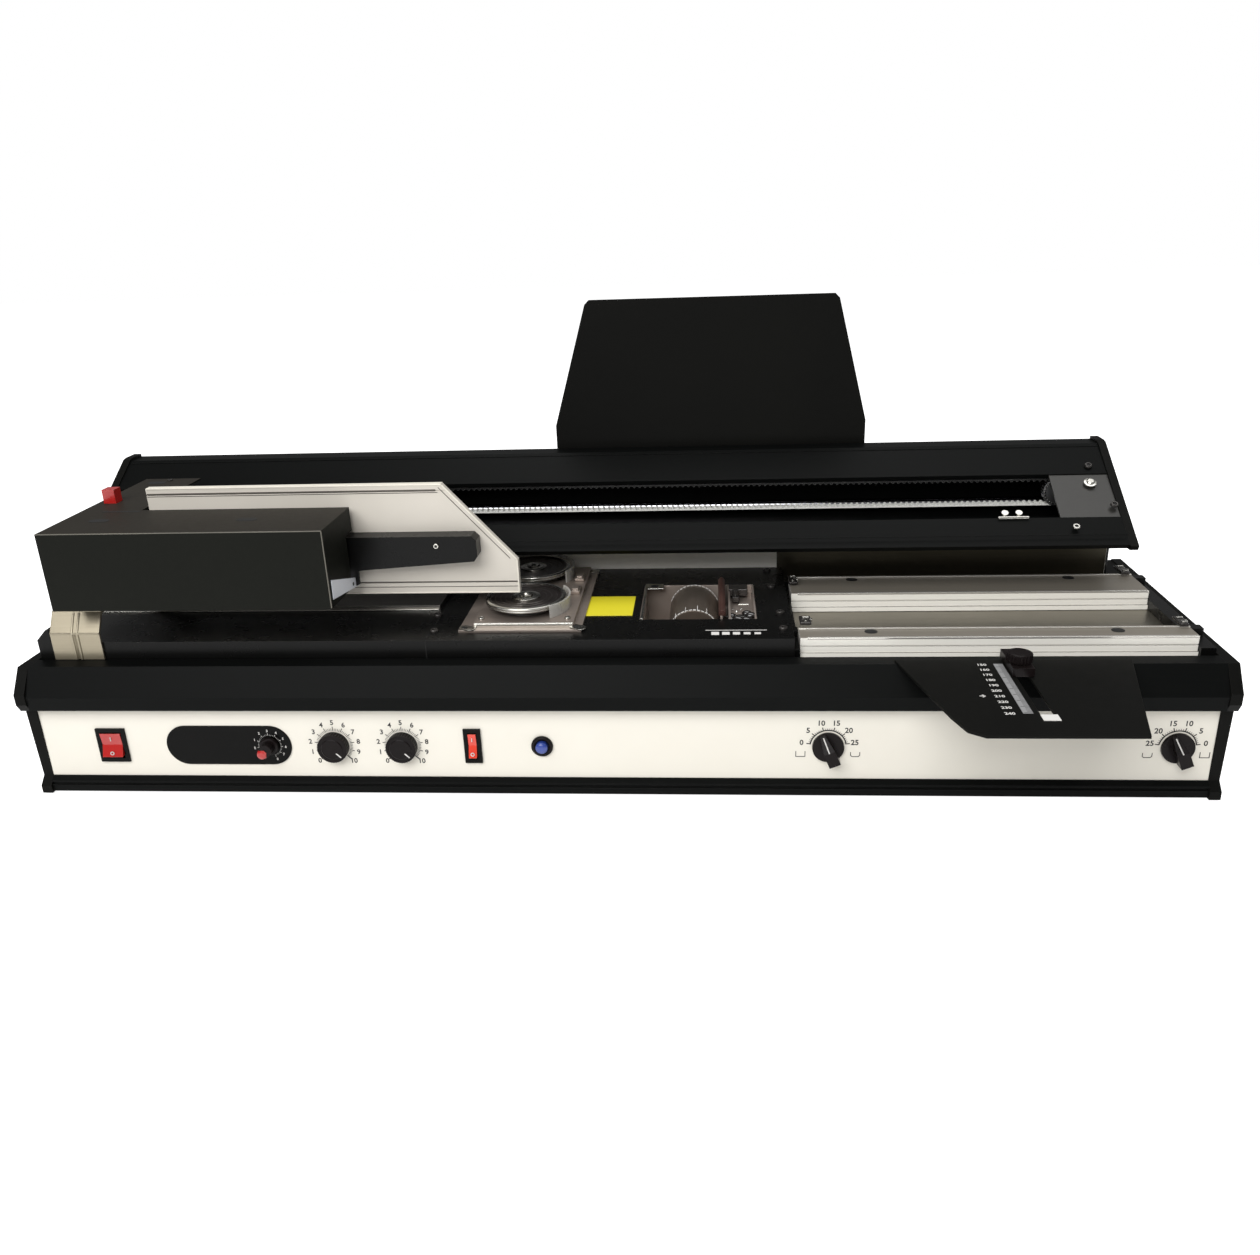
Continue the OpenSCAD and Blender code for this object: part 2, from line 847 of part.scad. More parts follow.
// A jaw's section: a low toe, a groove and a bevelled top edge
module jaw_section(w) {
    h = jaw_z - jaw_seat;
    difference() {
        polygon([
            [0, 4], [-2, 4], [-2, 0], [w, 0], [w, h], [w - 2, h], [w - 2, h - 1],
            [0, h - 1]
        ]);
        translate([-1, h / 2]) square([1.8, 1]);
    }
}
module jaw_bar(y, w) {
    difference() {
        translate([0, y, jaw_seat])
            along_x(jaw_x0, jaw_x1) jaw_section(w);
        for (x = [jaw_x0 + 58, jaw_x1 - 58])
            rod_z(x, y + w - 8, jaw_z - 6, jaw_z + 1, 7);
    }
}
module front_jaw() {
    color([0.75, 0.74, 0.72])
        place() jaw_bar(jaw1_y, jaw1_w);
}
module rear_jaw() {
    color([0.7, 0.69, 0.67])
        place() jaw_bar(jaw2_y, jaw2_w);
}
module jaw_hooks() {
    color([0.07, 0.07, 0.07])
        place()
            for (x = [[deck_x1, jaw_x0 - slide_gap], [jaw_x1 + slide_gap, half_l]]) {
                slab([x[0], deck_y + 4, bed_z], [x[1], wall_y, bed_z + hook_h]);
                slab(
                    [x[0], jaw1_y + jaw1_w, bed_z + hook_h],
                    [x[1], jaw1_y + jaw1_w + 9, jaw_z - 3]
                );
                slab(
                    [x[0], jaw2_y + jaw2_w - 5, bed_z + hook_h],
                    [x[1], jaw2_y + jaw2_w + 4, jaw_z - 3]
                );
            }
}

// ---- Guide plate ----------------------------------------------------------

module guide_plate() {
    color([0.1, 0.1, 0.1])
        place()
            translate([0, 0, guide_z])
                difference() {
                    linear_extrude(height = guide_t)
                        polygon([
                            [guide_x0, guide_back], [guide_x1, guide_back],
                            [guide_x1 - guide_in, -guide_out],
                            [guide_x0 + guide_in + 8, -guide_out],
                            [guide_x0 + guide_in - 3, -guide_out + 8],
                            [guide_x0 + guide_in - 10, -guide_out + 30]
                        ]);
                    translate([0, 0, -1])
                        linear_extrude(height = guide_t + 2)
                            translate([guide_slot_x, (slot_y0 + slot_y1) / 2])
                                square([slot_w, guide_slot_l], center = true);
                }
}
module guide_stop() {
    color([0.07, 0.07, 0.07])
        place()
            difference() {
                union() {
                    slab(
                        [guide_slot_x - stop_w / 2, stop_back - stop_l, guide_z + guide_t + slide_gap],
                        [guide_slot_x + stop_w / 2, stop_back, guide_z + guide_t + stop_h]
                    );
                    slab(
                        [guide_slot_x - slot_w / 2 + slide_gap, slot_y1 - tongue_l - 0.5, guide_z - 1],
                        [guide_slot_x + slot_w / 2 - slide_gap, slot_y1 - 0.5, guide_z + guide_t + 3]
                    );
                }
                rod_z(
                    guide_slot_x, stop_knob_y, guide_z + guide_t + 2, guide_z + 30,
                    spindle_d + run_gap * 2
                );
            }
}
module stop_knob() {
    color([0.06, 0.06, 0.06])
        place() {
            rod_z(
                guide_slot_x, stop_knob_y, guide_z + guide_t + stop_h + slide_gap,
                guide_z + guide_t + stop_h + stop_knob_h, stop_knob_d
            );
            rod_z(
                guide_slot_x, stop_knob_y, guide_z + guide_t + 3,
                guide_z + guide_t + stop_h + 2, spindle_d
            );
        }
}

// ---- Beam -----------------------------------------------------------------

// Outline of the beam, as [depth, height]
module beam_outline() {
    polygon([
        [beam_y0, beam_z0 + beam_lip], [beam_y1, beam_z1], [beam_y2, beam_z1],
        [beam_y2, beam_z0], [beam_y0 + 3, beam_z0]
    ]);
}
// A strip of the sloping face, from s0 to s1 down the slope and d0 to d1 deep
module face_strip(s0, s1, d0, d1) {
    polygon([
        for (p = [[s0, d0], [s1, d0], [s1, d1], [s0, d1]])
            [
                beam_y1 + face_y * p[0] - face_z * p[1],
                beam_z1 + face_z * p[0] + face_y * p[1]
            ]
    ]);
}
module beam() {
    color([0.07, 0.07, 0.08])
        place()
            along_x(beam_in0, beam_in1)
                difference() {
                    beam_outline();
                    polygon([
                        [beam_y0 + beam_t * 3.2, beam_z0 + beam_t],
                        [beam_y1 + 1, beam_z1 - beam_t],
                        [beam_y2 - beam_t, beam_z1 - beam_t],
                        [beam_y2 - beam_t, beam_z0 + beam_t]
                    ]);
                    face_strip(slot_s0, slot_s1, -2, 12);
                }
}
module beam_caps() {
    color([0.06, 0.06, 0.06])
        place()
            for (x = [beam_x0, beam_in1])
                along_x(x, x + cap_t)
                    polygon([
                        [beam_y0 + 1, beam_z0 - 1], [beam_y0 - 1, beam_z0 + beam_lip - 1],
                        [beam_y1 - cap_proud, beam_z1 + cap_proud],
                        [beam_y1 + 4, beam_z1 + cap_proud + 1],
                        [beam_y2, beam_z1 + cap_proud + 1], [beam_y2, beam_z0 - 1]
                    ]);
}
module beam_posts() {
    color([0.16, 0.16, 0.16])
        place()
            {
                slab(
                    [beam_in0 + 20, post_y, shelf_z],
                    [beam_in0 + 20 + post_w, post_y + post_d, beam_z0]
                );
                slab(
                    [beam_in1 - post_w, post_y - 4, beam_z0 - 1 - head_t],
                    [beam_in1 - post_w + head_w, post_y + post_w + 4, beam_z0 - 1]
                );
                rod_z(
                    beam_in1 + head_w - post_w * 1.5 - 3, post_y + post_w / 2,
                    shelf_z, beam_z0 - head_t, post_w
                );
            }
}
module guide_rods() {
    color([0.75, 0.75, 0.77])
        place()
            for (z = [rod_low_z, rod_high_z])
                rod_x(beam_in0, beam_in1, rod_y0, z, rod_d);
}
// Closed belt with teeth on the inside of both straight runs
module belt_outline() {
    difference() {
        union() {
            translate([drive_x, pulley_z]) circle(r = belt_r);
            translate([idler_x, pulley_z]) circle(r = belt_r);
            translate([drive_x, pulley_z - belt_r]) square([run_l, belt_r * 2]);
        }
        translate([drive_x, pulley_z]) circle(r = belt_in);
        translate([idler_x, pulley_z]) circle(r = belt_in);
        polygon(concat(
            [[drive_x, pulley_z - belt_in]],
            [for (i = [0 : tooth_n - 1]) each tooth_points(i, -1)],
            [[idler_x, pulley_z - belt_in], [idler_x, pulley_z + belt_in]],
            [for (i = [tooth_n - 1 : -1 : 0]) each tooth_points(i, 1)],
            [[drive_x, pulley_z + belt_in]]
        ));
    }
}
// Four corners of one tooth, on the lower run (-1) or the upper run (1)
function tooth_points(i, side) =
    let (
        x = tooth_x0 + i * belt_pitch,
        z0 = pulley_z + side * belt_in,
        z1 = pulley_z + side * (belt_in - tooth_h)
    ) [
        [x + side * tooth_w / 2, z0], [x + side * tooth_top / 2, z1],
        [x - side * tooth_top / 2, z1], [x - side * tooth_w / 2, z0]
    ];
module toothed_belt() {
    color([0.88, 0.88, 0.85])
        place() along_y(belt_y0, belt_y0 + belt_w) belt_outline();
}
module pulley(x, bore) {
    difference() {
        union() {
            rod_y(x, belt_y0, belt_y0 + belt_w, pulley_z, (belt_in - slide_gap) * 2);
            rod_y(x, belt_y0 - flange_t - 0.4, belt_y0 - 0.4, pulley_z, flange_d);
            rod_y(x, belt_y0 - 1, belt_y0 + belt_w + 3, pulley_z, 12);
        }
        rod_y(x, belt_y0 - 3, belt_y0 + belt_w + 4, pulley_z, bore);
    }
}
module idler_pulley() {
    color([0.7, 0.7, 0.7])
        place() pulley(idler_x, spindle_d + run_gap * 2);
}
module drive_pulley() {
    color([0.7, 0.7, 0.7])
        place() {
            pulley(drive_x, spindle_d);
            rod_y(drive_x, belt_y0 - 1.6, belt_y0 + belt_w + 12, pulley_z, spindle_d);
        }
}
module idler_bracket() {
    color([0.35, 0.32, 0.3])
        place() {
            along_x(idler_x - 10, beam_in1)
                face_strip(slot_s0 + 0.2, slot_s1 - 0.2, 1, 1 + bracket_t);
            rod_y(idler_x, belt_y0 - 6, beam_y2 - beam_t, pulley_z, spindle_d);
        }
}
module drive_motor() {
    color([0.3, 0.3, 0.32])
        place()
            difference() {
                rod_y(drive_x, belt_y0 + belt_w + 5, beam_y2 - beam_t, pulley_z, drive_motor_d);
                rod_y(
                    drive_x, belt_y0 + belt_w, belt_y0 + belt_w + 14, pulley_z,
                    spindle_d + run_gap * 2
                );
            }
}
module cover_tray() {
    color([0.1, 0.1, 0.1])
        place()
            along_y(beam_y2, beam_y2 + tray_t)
                polygon([
                    [tray_x0, beam_z1 - 45], [tray_x0, beam_z1 + 22],
                    [tray_x0 + 33, tray_z1 - 4], [tray_x0 + 37, tray_z1],
                    [tray_x0 + tray_w - 32, tray_z1], [tray_x0 + tray_w - 28, tray_z1 - 4],
                    [tray_x0 + tray_w, beam_z1 + 22], [tray_x0 + tray_w, beam_z1 - 45]
                ]);
}

// ---- Carriage -------------------------------------------------------------

module carriage_block() {
    color([0.55, 0.55, 0.57])
        place()
            difference() {
                union() {
                    slab(
                        [block_x0, rod_y0 - 9, beam_z0 + beam_t + 1],
                        [block_x0 + block_l, rod_y0 + rod_d / 2 + 0.5, beam_z1 - beam_t - 4]
                    );
                    slab(
                        [block_x0, rear_clamp_y + clamp_t, arm_z0],
                        [block_x0 + block_l, rod_y0 - 8, arm_z1]
                    );
                }
                for (z = [rod_low_z, rod_high_z])
                    rod_x(
                        block_x0 - 1, block_x0 + block_l + 1, rod_y0, z,
                        rod_d + run_gap * 2
                    );
            }
}
// Outline of a clamp plate, as [place, height]
module clamp_outline(top, end) {
    polygon([
        [clamp_x0, clamp_z0], [end, clamp_z0], [end, clamp_z0 + 29],
        [end - (top - clamp_z0 - 29) * 0.9, top], [clamp_x0, top]
    ]);
}
module rear_clamp_plate() {
    color([0.12, 0.12, 0.12])
        place() {
            along_y(rear_clamp_y, rear_clamp_y + clamp_t)
                clamp_outline(rear_top, clamp_x1 - rear_short);
            slab(
                [block_x0, rear_clamp_y, arm_z0 - rear_over],
                [cover_neck, rear_clamp_y + clamp_t, cover_z1 - cover_t]
            );
            slab(
                [cover_neck - 1, rear_clamp_y, arm_z0 - rear_over],
                [clamp_x0 + 1, rear_clamp_y + clamp_t, arm_z1 + rear_over]
            );
        }
}
module front_clamp_plate() {
    color([0.85, 0.82, 0.76])
        place()
        {
            for (x = pin_x)
                rod_y(x, pin_y0, clamp_y + 1, pin_z, pin_d);
            difference() {
                along_y(clamp_y, clamp_y + clamp_t) clamp_outline(clamp_z1, clamp_x1);
                for (z = [clamp_z0 + 9, clamp_z1 - 6])
                    slab([clamp_x0 - 1, clamp_y - 1, z], [clamp_x1 + 1, clamp_y + 0.6, z + 1]);
            }
        }
}
module clamp_arm() {
    color([0.08, 0.08, 0.08])
        place() {
            difference() {
                along_y(clamp_y - arm_d, clamp_y)
                    polygon([
                        [arm_x0, arm_low], [arm_x1 - 3, arm_top - 22], [arm_x1, arm_top - 18],
                        [arm_x1, arm_top - 4], [arm_x1 - 4, arm_top], [arm_x0, arm_top]
                    ]);
                along_y(clamp_y - arm_d + arm_t, clamp_y + 1)
                    polygon([
                        [arm_x0 - 1, arm_low + arm_t], [arm_x1 - 3 - arm_t, arm_top - 22 + arm_t],
                        [arm_x1 - arm_t, arm_top - 18], [arm_x1 - arm_t, arm_top - 5],
                        [arm_x1 - 5, arm_top - arm_t], [arm_x0 - 1, arm_top - arm_t]
                    ]);
            }
            along_y(clamp_y - arm_d, clamp_y - arm_d + arm_t)
                polygon([
                    [arm_x0, arm_low + 1], [arm_x0 + 26, arm_low + 4], [arm_x0 + 26, arm_low - 10],
                    [arm_x0, arm_low - 22]
                ]);
        }
}
module carriage_frame() {
    color([0.5, 0.5, 0.52])
        place()
            difference() {
                union() {
                    slab(
                        [cover_x0 + cover_t, frame_y0, cover_z0 + 4],
                        [cover_x0 + cover_l - cover_t, frame_y1, cover_z1 - cover_t]
                    );
                    for (x = pin_x)
                        rod_y(x, frame_y0 - bush_out, frame_y1 + bush_out, pin_z, bush_d);
                }
                for (x = pin_x)
                    rod_y(
                        x, frame_y0 - bush_out - 1, frame_y1 + bush_out + 1, pin_z,
                        pin_d + run_gap * 2
                    );
            }
}
module clamp_motor() {
    color([0.35, 0.35, 0.37])
        place()
            rod_y(clamp_x0 + 90, cover_t + 2, frame_y0, (cover_z0 + cover_z1) / 2, motor_d);
}
module carriage_cover() {
    color([0.19, 0.19, 0.17])
        place()
            difference() {
                union() {
                    slab([cover_x0, 0, cover_z0], [cover_x0 + cover_l, notch_y, cover_z1]);
                    slab([cover_x0, notch_y - 1, cover_z1 - cover_t], [cover_neck, cover_back, cover_z1]);
                }
                slab(
                    [cover_x0 + cover_t, cover_t, cover_z0 - 1],
                    [cover_x0 + cover_l - cover_t, notch_y + 1, cover_z1 - cover_t]
                );
                slab(
                    [cover_x0 + cover_l - 4, clamp_y - arm_d - 8, cover_z0 - 1],
                    [cover_x0 + cover_l + 1, notch_y + 1, arm_top + 4]
                );
                slab(
                    [button_x - button_w / 2 - 0.5, button_y - button_w / 2 - 0.5, cover_z1 - 5],
                    [button_x + button_w / 2 + 0.5, button_y + button_w / 2 + 0.5, cover_z1 + 1]
                );
            }
}
module carriage_button() {
    color([0.85, 0.12, 0.1])
        place()
            slab(
                [button_x - button_w / 2, button_y - button_w / 2, arm_z1 + 13],
                [button_x + button_w / 2, button_y + button_w / 2, cover_z1 + button_up]
            );
}

// ---- Controls -------------------------------------------------------------

module switch_frame(x, w) {
    difference() {
        union() {
            slab(
                [x - w / 2, -frame_out, ctrl_z - switch_h / 2],
                [x + w / 2, 0, ctrl_z + switch_h / 2]
            );
            slab(
                [x - w / 2 + frame_w, -frame_out, ctrl_z - switch_h / 2 + frame_w],
                [x + w / 2 - frame_w, frame_in, ctrl_z + switch_h / 2 - frame_w]
            );
        }
        slab(
            [x - w / 2 + frame_w + frame_wall, -frame_out - 1, ctrl_z - switch_h / 2 + frame_w + frame_wall],
            [x + w / 2 - frame_w - frame_wall, frame_in - 2, ctrl_z + switch_h / 2 - frame_w - frame_wall]
        );
    }
}
module switch_frames() {
    color([0.06, 0.06, 0.06])
        place() {
            switch_frame(power_x, power_w);
            switch_frame(mode_x, mode_w);
            difference() {
                rod_y(start_x, -frame_out, 0, ctrl_z, start_d);
                rod_y(start_x, -frame_out - 1, 1, ctrl_z, button_d + 1);
            }
            difference() {
                rod_y(start_x, -eps, frame_in, ctrl_z, start_d - frame_w * 2);
                rod_y(start_x, -1, frame_in - 2, ctrl_z, button_d + 0.6);
            }
            difference() {
                translate([(window_x0 + window_x1) / 2, -window_t, ctrl_z])
                    rotate([-90, 0, 0])
                        linear_extrude(height = window_t)
                            round_box(window_x1 - window_x0, window_h, window_h / 2 - 0.1);
                rod_y(temp_x, -3, 3, ctrl_z, spindle_d + spindle_play * 2);
            }
        }
}
module rocker(x, w) {
    hw = w / 2 - frame_w - frame_wall - rocker_play;
    hh = switch_h / 2 - frame_w - frame_wall - rocker_play;
    translate([0, rocker_axis, ctrl_z])
        rotate([-rocker_tilt, 0, 0])
            translate([0, -rocker_axis, 0])
                along_x(x - hw, x + hw)
                    polygon([
                        [rocker_back, -hh * 0.6], [-frame_out - 2, 1 - hh], [-frame_out + 0.5, 0],
                        [-frame_out - 2, hh - 1], [rocker_back, hh * 0.6]
                    ]);
}
module power_rocker() {
    color([0.8, 0.1, 0.08]) place() rocker(power_x, power_w);
}
module mode_rocker() {
    color([0.8, 0.1, 0.08]) place() rocker(mode_x, mode_w);
}
module start_button() {
    color([0.2, 0.3, 0.6])
        place()
            difference() {
                rod_y(start_x, -frame_out - 3, frame_in - 6, ctrl_z, button_d);
                rod_y(start_x, -frame_out - 4, -frame_out - 2.5, ctrl_z, button_d - 4);
            }
}
module knob(x, d, h) {
    rod_y(x, -h, -slide_gap, ctrl_z, d);
    rod_y(x, -1, panel_t + 6, ctrl_z, spindle_d);
}
module temperature_knob() {
    color([0.8, 0.1, 0.08])
        place() {
            rod_y(temp_x, -4, -window_t - slide_gap, ctrl_z, dial_d);
            rod_y(temp_x, -temp_h, -2, ctrl_z, dial_cap);
            rod_y(temp_x, -2, panel_t + 6, ctrl_z, spindle_d);
        }
}
module pressure_knob() {
    color([0.1, 0.1, 0.1]) place() knob(press_x, knob_d, knob_h);
}
module time_knob() {
    color([0.1, 0.1, 0.1]) place() knob(time_x, knob_d, knob_h);
}
module spine_knob(x) {
    rod_y(x, -skirt_t, -slide_gap, ctrl_z, spine_d);
    translate([x, 0, ctrl_z])
        rotate([0, -bar_turn, 0])
            hull() {
                slab([-bar_w / 2, -bar_out, -bar_r], [bar_w / 2, -skirt_t, 0]);
                slab([-bar_tip / 2, -bar_low, bar_r - 1], [bar_tip / 2, -skirt_t, bar_r]);
            }
    rod_y(x, -1, cam_y + 1, ctrl_z, spindle_d);
    translate([0, 0, 4])
        rod_y(x, cam_y, cam_y + cam_t, ctrl_z, cam_d);
}
module left_spine_knob() {
    color([0.1, 0.1, 0.1]) place() spine_knob(spine1_x);
}
module right_spine_knob() {
    color([0.1, 0.1, 0.1]) place() spine_knob(spine2_x);
}
module control_board() {
    color([0.1, 0.4, 0.2])
        place() {
            slab(
                [board_x0, board_y, pan_z + standoff_h],
                [board_x0 + board_l, board_y + board_d, pan_z + standoff_h + board_t]
            );
            for (
                x = [board_x0 + board_in, board_x0 + board_l - board_in],
                y = [board_y + board_in, board_y + board_d - board_in]
            )
                rod_z(x, y, pan_z, pan_z + standoff_h + 1, standoff_d);
            translate([board_x0 + supply_in, board_y + supply_in, pan_z + standoff_h + 1])
                cube([supply_l, supply_d, supply_h]);
        }
}
module power_inlet() {
    color([0.05, 0.05, 0.05])
        place()
            difference() {
                union() {
                    slab(
                        [inlet_x - inlet_w / 2, base_d - inlet_deep, inlet_z - inlet_h / 2],
                        [inlet_x + inlet_w / 2, base_d + 1, inlet_z + inlet_h / 2]
                    );
                    slab(
                        [inlet_x - inlet_w / 2 - 8, base_d, inlet_z - inlet_h / 2 - 2],
                        [inlet_x + inlet_w / 2 + 8, base_d + inlet_out, inlet_z + inlet_h / 2 + 2]
                    );
                }
                slab(
                    [inlet_x - inlet_w / 2 + 2, base_d - inlet_deep + 3, inlet_z - inlet_h / 2 + 2],
                    [inlet_x + inlet_w / 2 - 2, base_d + 3, inlet_z + inlet_h / 2 - 2]
                );
            }
}

base_pan();
rear_panel();
left_side_plate();
right_side_plate();
front_rail();
bottom_rail();
front_panel();
rubber_feet();
left_deck();
levelling_plate();
middle_deck();
carriage_rest();
deck_walls();
rear_shelf();
notch_tray();
notch_guards();
notch_motors();
front_notch_disc();
rear_notch_disc();
glue_tank();
glue_heater();
glue_scraper();
glue_motor();
glue_roller();
nip_bed();
front_jaw();
rear_jaw();
jaw_hooks();
guide_plate();
guide_stop();
stop_knob();
beam();
beam_caps();
beam_posts();
guide_rods();
toothed_belt();
drive_pulley();
idler_pulley();
idler_bracket();
drive_motor();
cover_tray();
carriage_block();
carriage_cover();
carriage_frame();
rear_clamp_plate();
front_clamp_plate();
clamp_arm();
clamp_motor();
carriage_button();
switch_frames();
power_rocker();
mode_rocker();
start_button();
temperature_knob();
pressure_knob();
time_knob();
left_spine_knob();
right_spine_knob();
control_board();
power_inlet();
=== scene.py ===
"""Perfect binding machine: finishes, printed scales, screws and small fittings.

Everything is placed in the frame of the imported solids. Lengths in this file are in
millimetres, counted to the right from the middle of the machine, back from the face of
the front panel and up from the table, and at() turns them into the frame's metres. Only
the sizes inside a finish, the floor and the lights are in metres. Many fittings are placed
from the box of the solid they sit on, and the others stand at named places on the machine.
"""

from math import cos, pi, radians, sin

import bmesh
import bpy
from mathutils import Matrix, Vector


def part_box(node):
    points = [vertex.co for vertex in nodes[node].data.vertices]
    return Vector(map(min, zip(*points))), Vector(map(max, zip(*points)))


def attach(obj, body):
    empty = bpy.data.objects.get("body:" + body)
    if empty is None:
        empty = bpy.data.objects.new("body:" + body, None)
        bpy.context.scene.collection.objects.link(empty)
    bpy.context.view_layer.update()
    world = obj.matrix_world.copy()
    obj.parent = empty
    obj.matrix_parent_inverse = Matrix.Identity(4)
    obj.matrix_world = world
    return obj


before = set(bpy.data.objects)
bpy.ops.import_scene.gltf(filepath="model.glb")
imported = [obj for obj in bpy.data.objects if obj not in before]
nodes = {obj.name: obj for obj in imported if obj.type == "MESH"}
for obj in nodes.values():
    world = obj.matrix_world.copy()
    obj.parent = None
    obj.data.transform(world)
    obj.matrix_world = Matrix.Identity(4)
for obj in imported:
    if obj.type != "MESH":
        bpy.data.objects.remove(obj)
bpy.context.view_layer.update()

MM = 0.001
PANEL_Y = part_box("front_panel")[0].y
X, Y, Z = Vector((1, 0, 0)), Vector((0, 1, 0)), Vector((0, 0, 1))


def at(x, y, z):
    """A place given in millimetres, in the frame's metres."""
    return Vector((x * MM, PANEL_Y + y * MM, z * MM))


def corners(node):
    """The low and high corners of a solid's box in millimetres, to a hundredth."""
    return [tuple(round(value / MM, 2) for value in (corner.x, corner.y - PANEL_Y, corner.z))
            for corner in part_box(node)]


def mid_x(node):
    """The middle of a solid along the machine, in millimetres."""
    low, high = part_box(node)
    return (low.x + high.x) / 2 / MM


def linear(red, green, blue):
    """A colour seen as 0 to 255 values, as the linear colour a shader wants."""
    channels = []
    for value in (red, green, blue):
        part = value / 255
        channels.append(part / 12.92 if part <= 0.04045 else ((part + 0.055) / 1.055) ** 2.4)
    return (*channels, 1.0)


# ---- Shared shader effects -------------------------------------------------------


def effect(name, inputs, outputs):
    """An empty node group with named sockets; gives the group, its input and output nodes."""
    group = bpy.data.node_groups.new(name, "ShaderNodeTree")
    for socket, kind, default in inputs:
        made = group.interface.new_socket(socket, in_out="INPUT", socket_type=kind)
        made.default_value = default
    for socket, kind in outputs:
        group.interface.new_socket(socket, in_out="OUTPUT", socket_type=kind)
    return group, group.nodes.new("NodeGroupInput"), group.nodes.new("NodeGroupOutput")


FLOAT, COLOUR, VECTOR = "NodeSocketFloat", "NodeSocketColor", "NodeSocketVector"
WHITE = (1, 1, 1, 1)
# How fine each shared pattern is, in noise cells a metre
CLOUDS, BLOTCHES, SHEEN, EDGE_PATCHES = 9.0, 14.0, 55.0, 120.0
# How quickly an edge is painted lighter as its corner sharpens, partly as wear and partly as a
# painted highlight
WEAR_AND_HIGHLIGHT_GAIN = 4.0


def math_node(tree, operation, first, second):
    """A math node; each of its two inputs is a number or a link."""
    node = tree.nodes.new("ShaderNodeMath")
    node.operation = operation
    for index, value in enumerate((first, second)):
        if isinstance(value, (int, float)):
            node.inputs[index].default_value = value
        else:
            tree.links.new(value, node.inputs[index])
    return node.outputs[0]


def mix_colour(tree, factor, first, second):
    """A colour between two, by a factor; the colour inputs of a Mix node are its 6 and 7."""
    node = tree.nodes.new("ShaderNodeMix")
    node.data_type = "RGBA"
    for index, value in ((0, factor), (6, first), (7, second)):
        socket = node.inputs[index]
        if hasattr(value, "is_output"):
            tree.links.new(value, socket)
        else:
            socket.default_value = value
    return node.outputs[2]


def noise(tree, vector, scale, detail):
    """Soft noise over a surface."""
    node = tree.nodes.new("ShaderNodeTexNoise")
    node.inputs["Detail"].default_value = detail
    tree.links.new(vector, node.inputs["Vector"])
    if hasattr(scale, "is_output"):
        tree.links.new(scale, node.inputs["Scale"])
    else:
        node.inputs["Scale"].default_value = scale
    return node.outputs["Fac"]


def build_grain():
    """Fine pebbled coat: soft blotches of a second colour and an uneven sheen."""
    group, given, made = effect(
        "coat_grain",
        [("Base", COLOUR, WHITE), ("Blotch", COLOUR, WHITE), ("Grain Scale", FLOAT, 900.0),
         ("Roughness", FLOAT, 0.5), ("Spread", FLOAT, 0.1)],
        [("Colour", COLOUR), ("Roughness", FLOAT), ("Height", FLOAT)],
    )
    place = group.nodes.new("ShaderNodeTexCoord").outputs["Object"]
    blotches = noise(group, place, BLOTCHES, 3.0)
    grain = noise(group, place, given.outputs["Grain Scale"], 1.0)
    colour = mix_colour(group, blotches, given.outputs["Base"], given.outputs["Blotch"])
    swing = math_node(group, "SUBTRACT", noise(group, place, SHEEN, 3.0), 0.5)
    swing = math_node(group, "MULTIPLY", swing, given.outputs["Spread"])
    roughness = math_node(group, "ADD", swing, given.outputs["Roughness"])
    group.links.new(colour, made.inputs["Colour"])
    group.links.new(roughness, made.inputs["Roughness"])
    group.links.new(grain, made.inputs["Height"])
    return group


def build_brushing():
    """Drawn or brushed metal: streaks that run along the direction stretched least."""
    group, given, made = effect(
        "brushed_streaks",
        [("Base", COLOUR, WHITE), ("Streak", COLOUR, WHITE), ("Stretch", VECTOR, (1, 1, 1)),
         ("Roughness", FLOAT, 0.3), ("Spread", FLOAT, 0.1)],
        [("Colour", COLOUR), ("Roughness", FLOAT), ("Height", FLOAT)],
    )
    place = group.nodes.new("ShaderNodeTexCoord").outputs["Object"]
    scaled = group.nodes.new("ShaderNodeVectorMath")
    scaled.operation = "MULTIPLY"
    group.links.new(place, scaled.inputs[0])
    group.links.new(given.outputs["Stretch"], scaled.inputs[1])
    streaks = noise(group, scaled.outputs[0], 1.0, 3.0)
    clouds = noise(group, place, CLOUDS, 3.0)
    both = math_node(group, "MULTIPLY", math_node(group, "ADD", streaks, clouds), 0.5)
    colour = mix_colour(group, both, given.outputs["Base"], given.outputs["Streak"])
    swing = math_node(group, "SUBTRACT", both, 0.5)
    swing = math_node(group, "MULTIPLY", swing, given.outputs["Spread"])
    roughness = math_node(group, "ADD", swing, given.outputs["Roughness"])
    group.links.new(colour, made.inputs["Colour"])
    group.links.new(roughness, made.inputs["Roughness"])
    group.links.new(streaks, made.inputs["Height"])
    return group


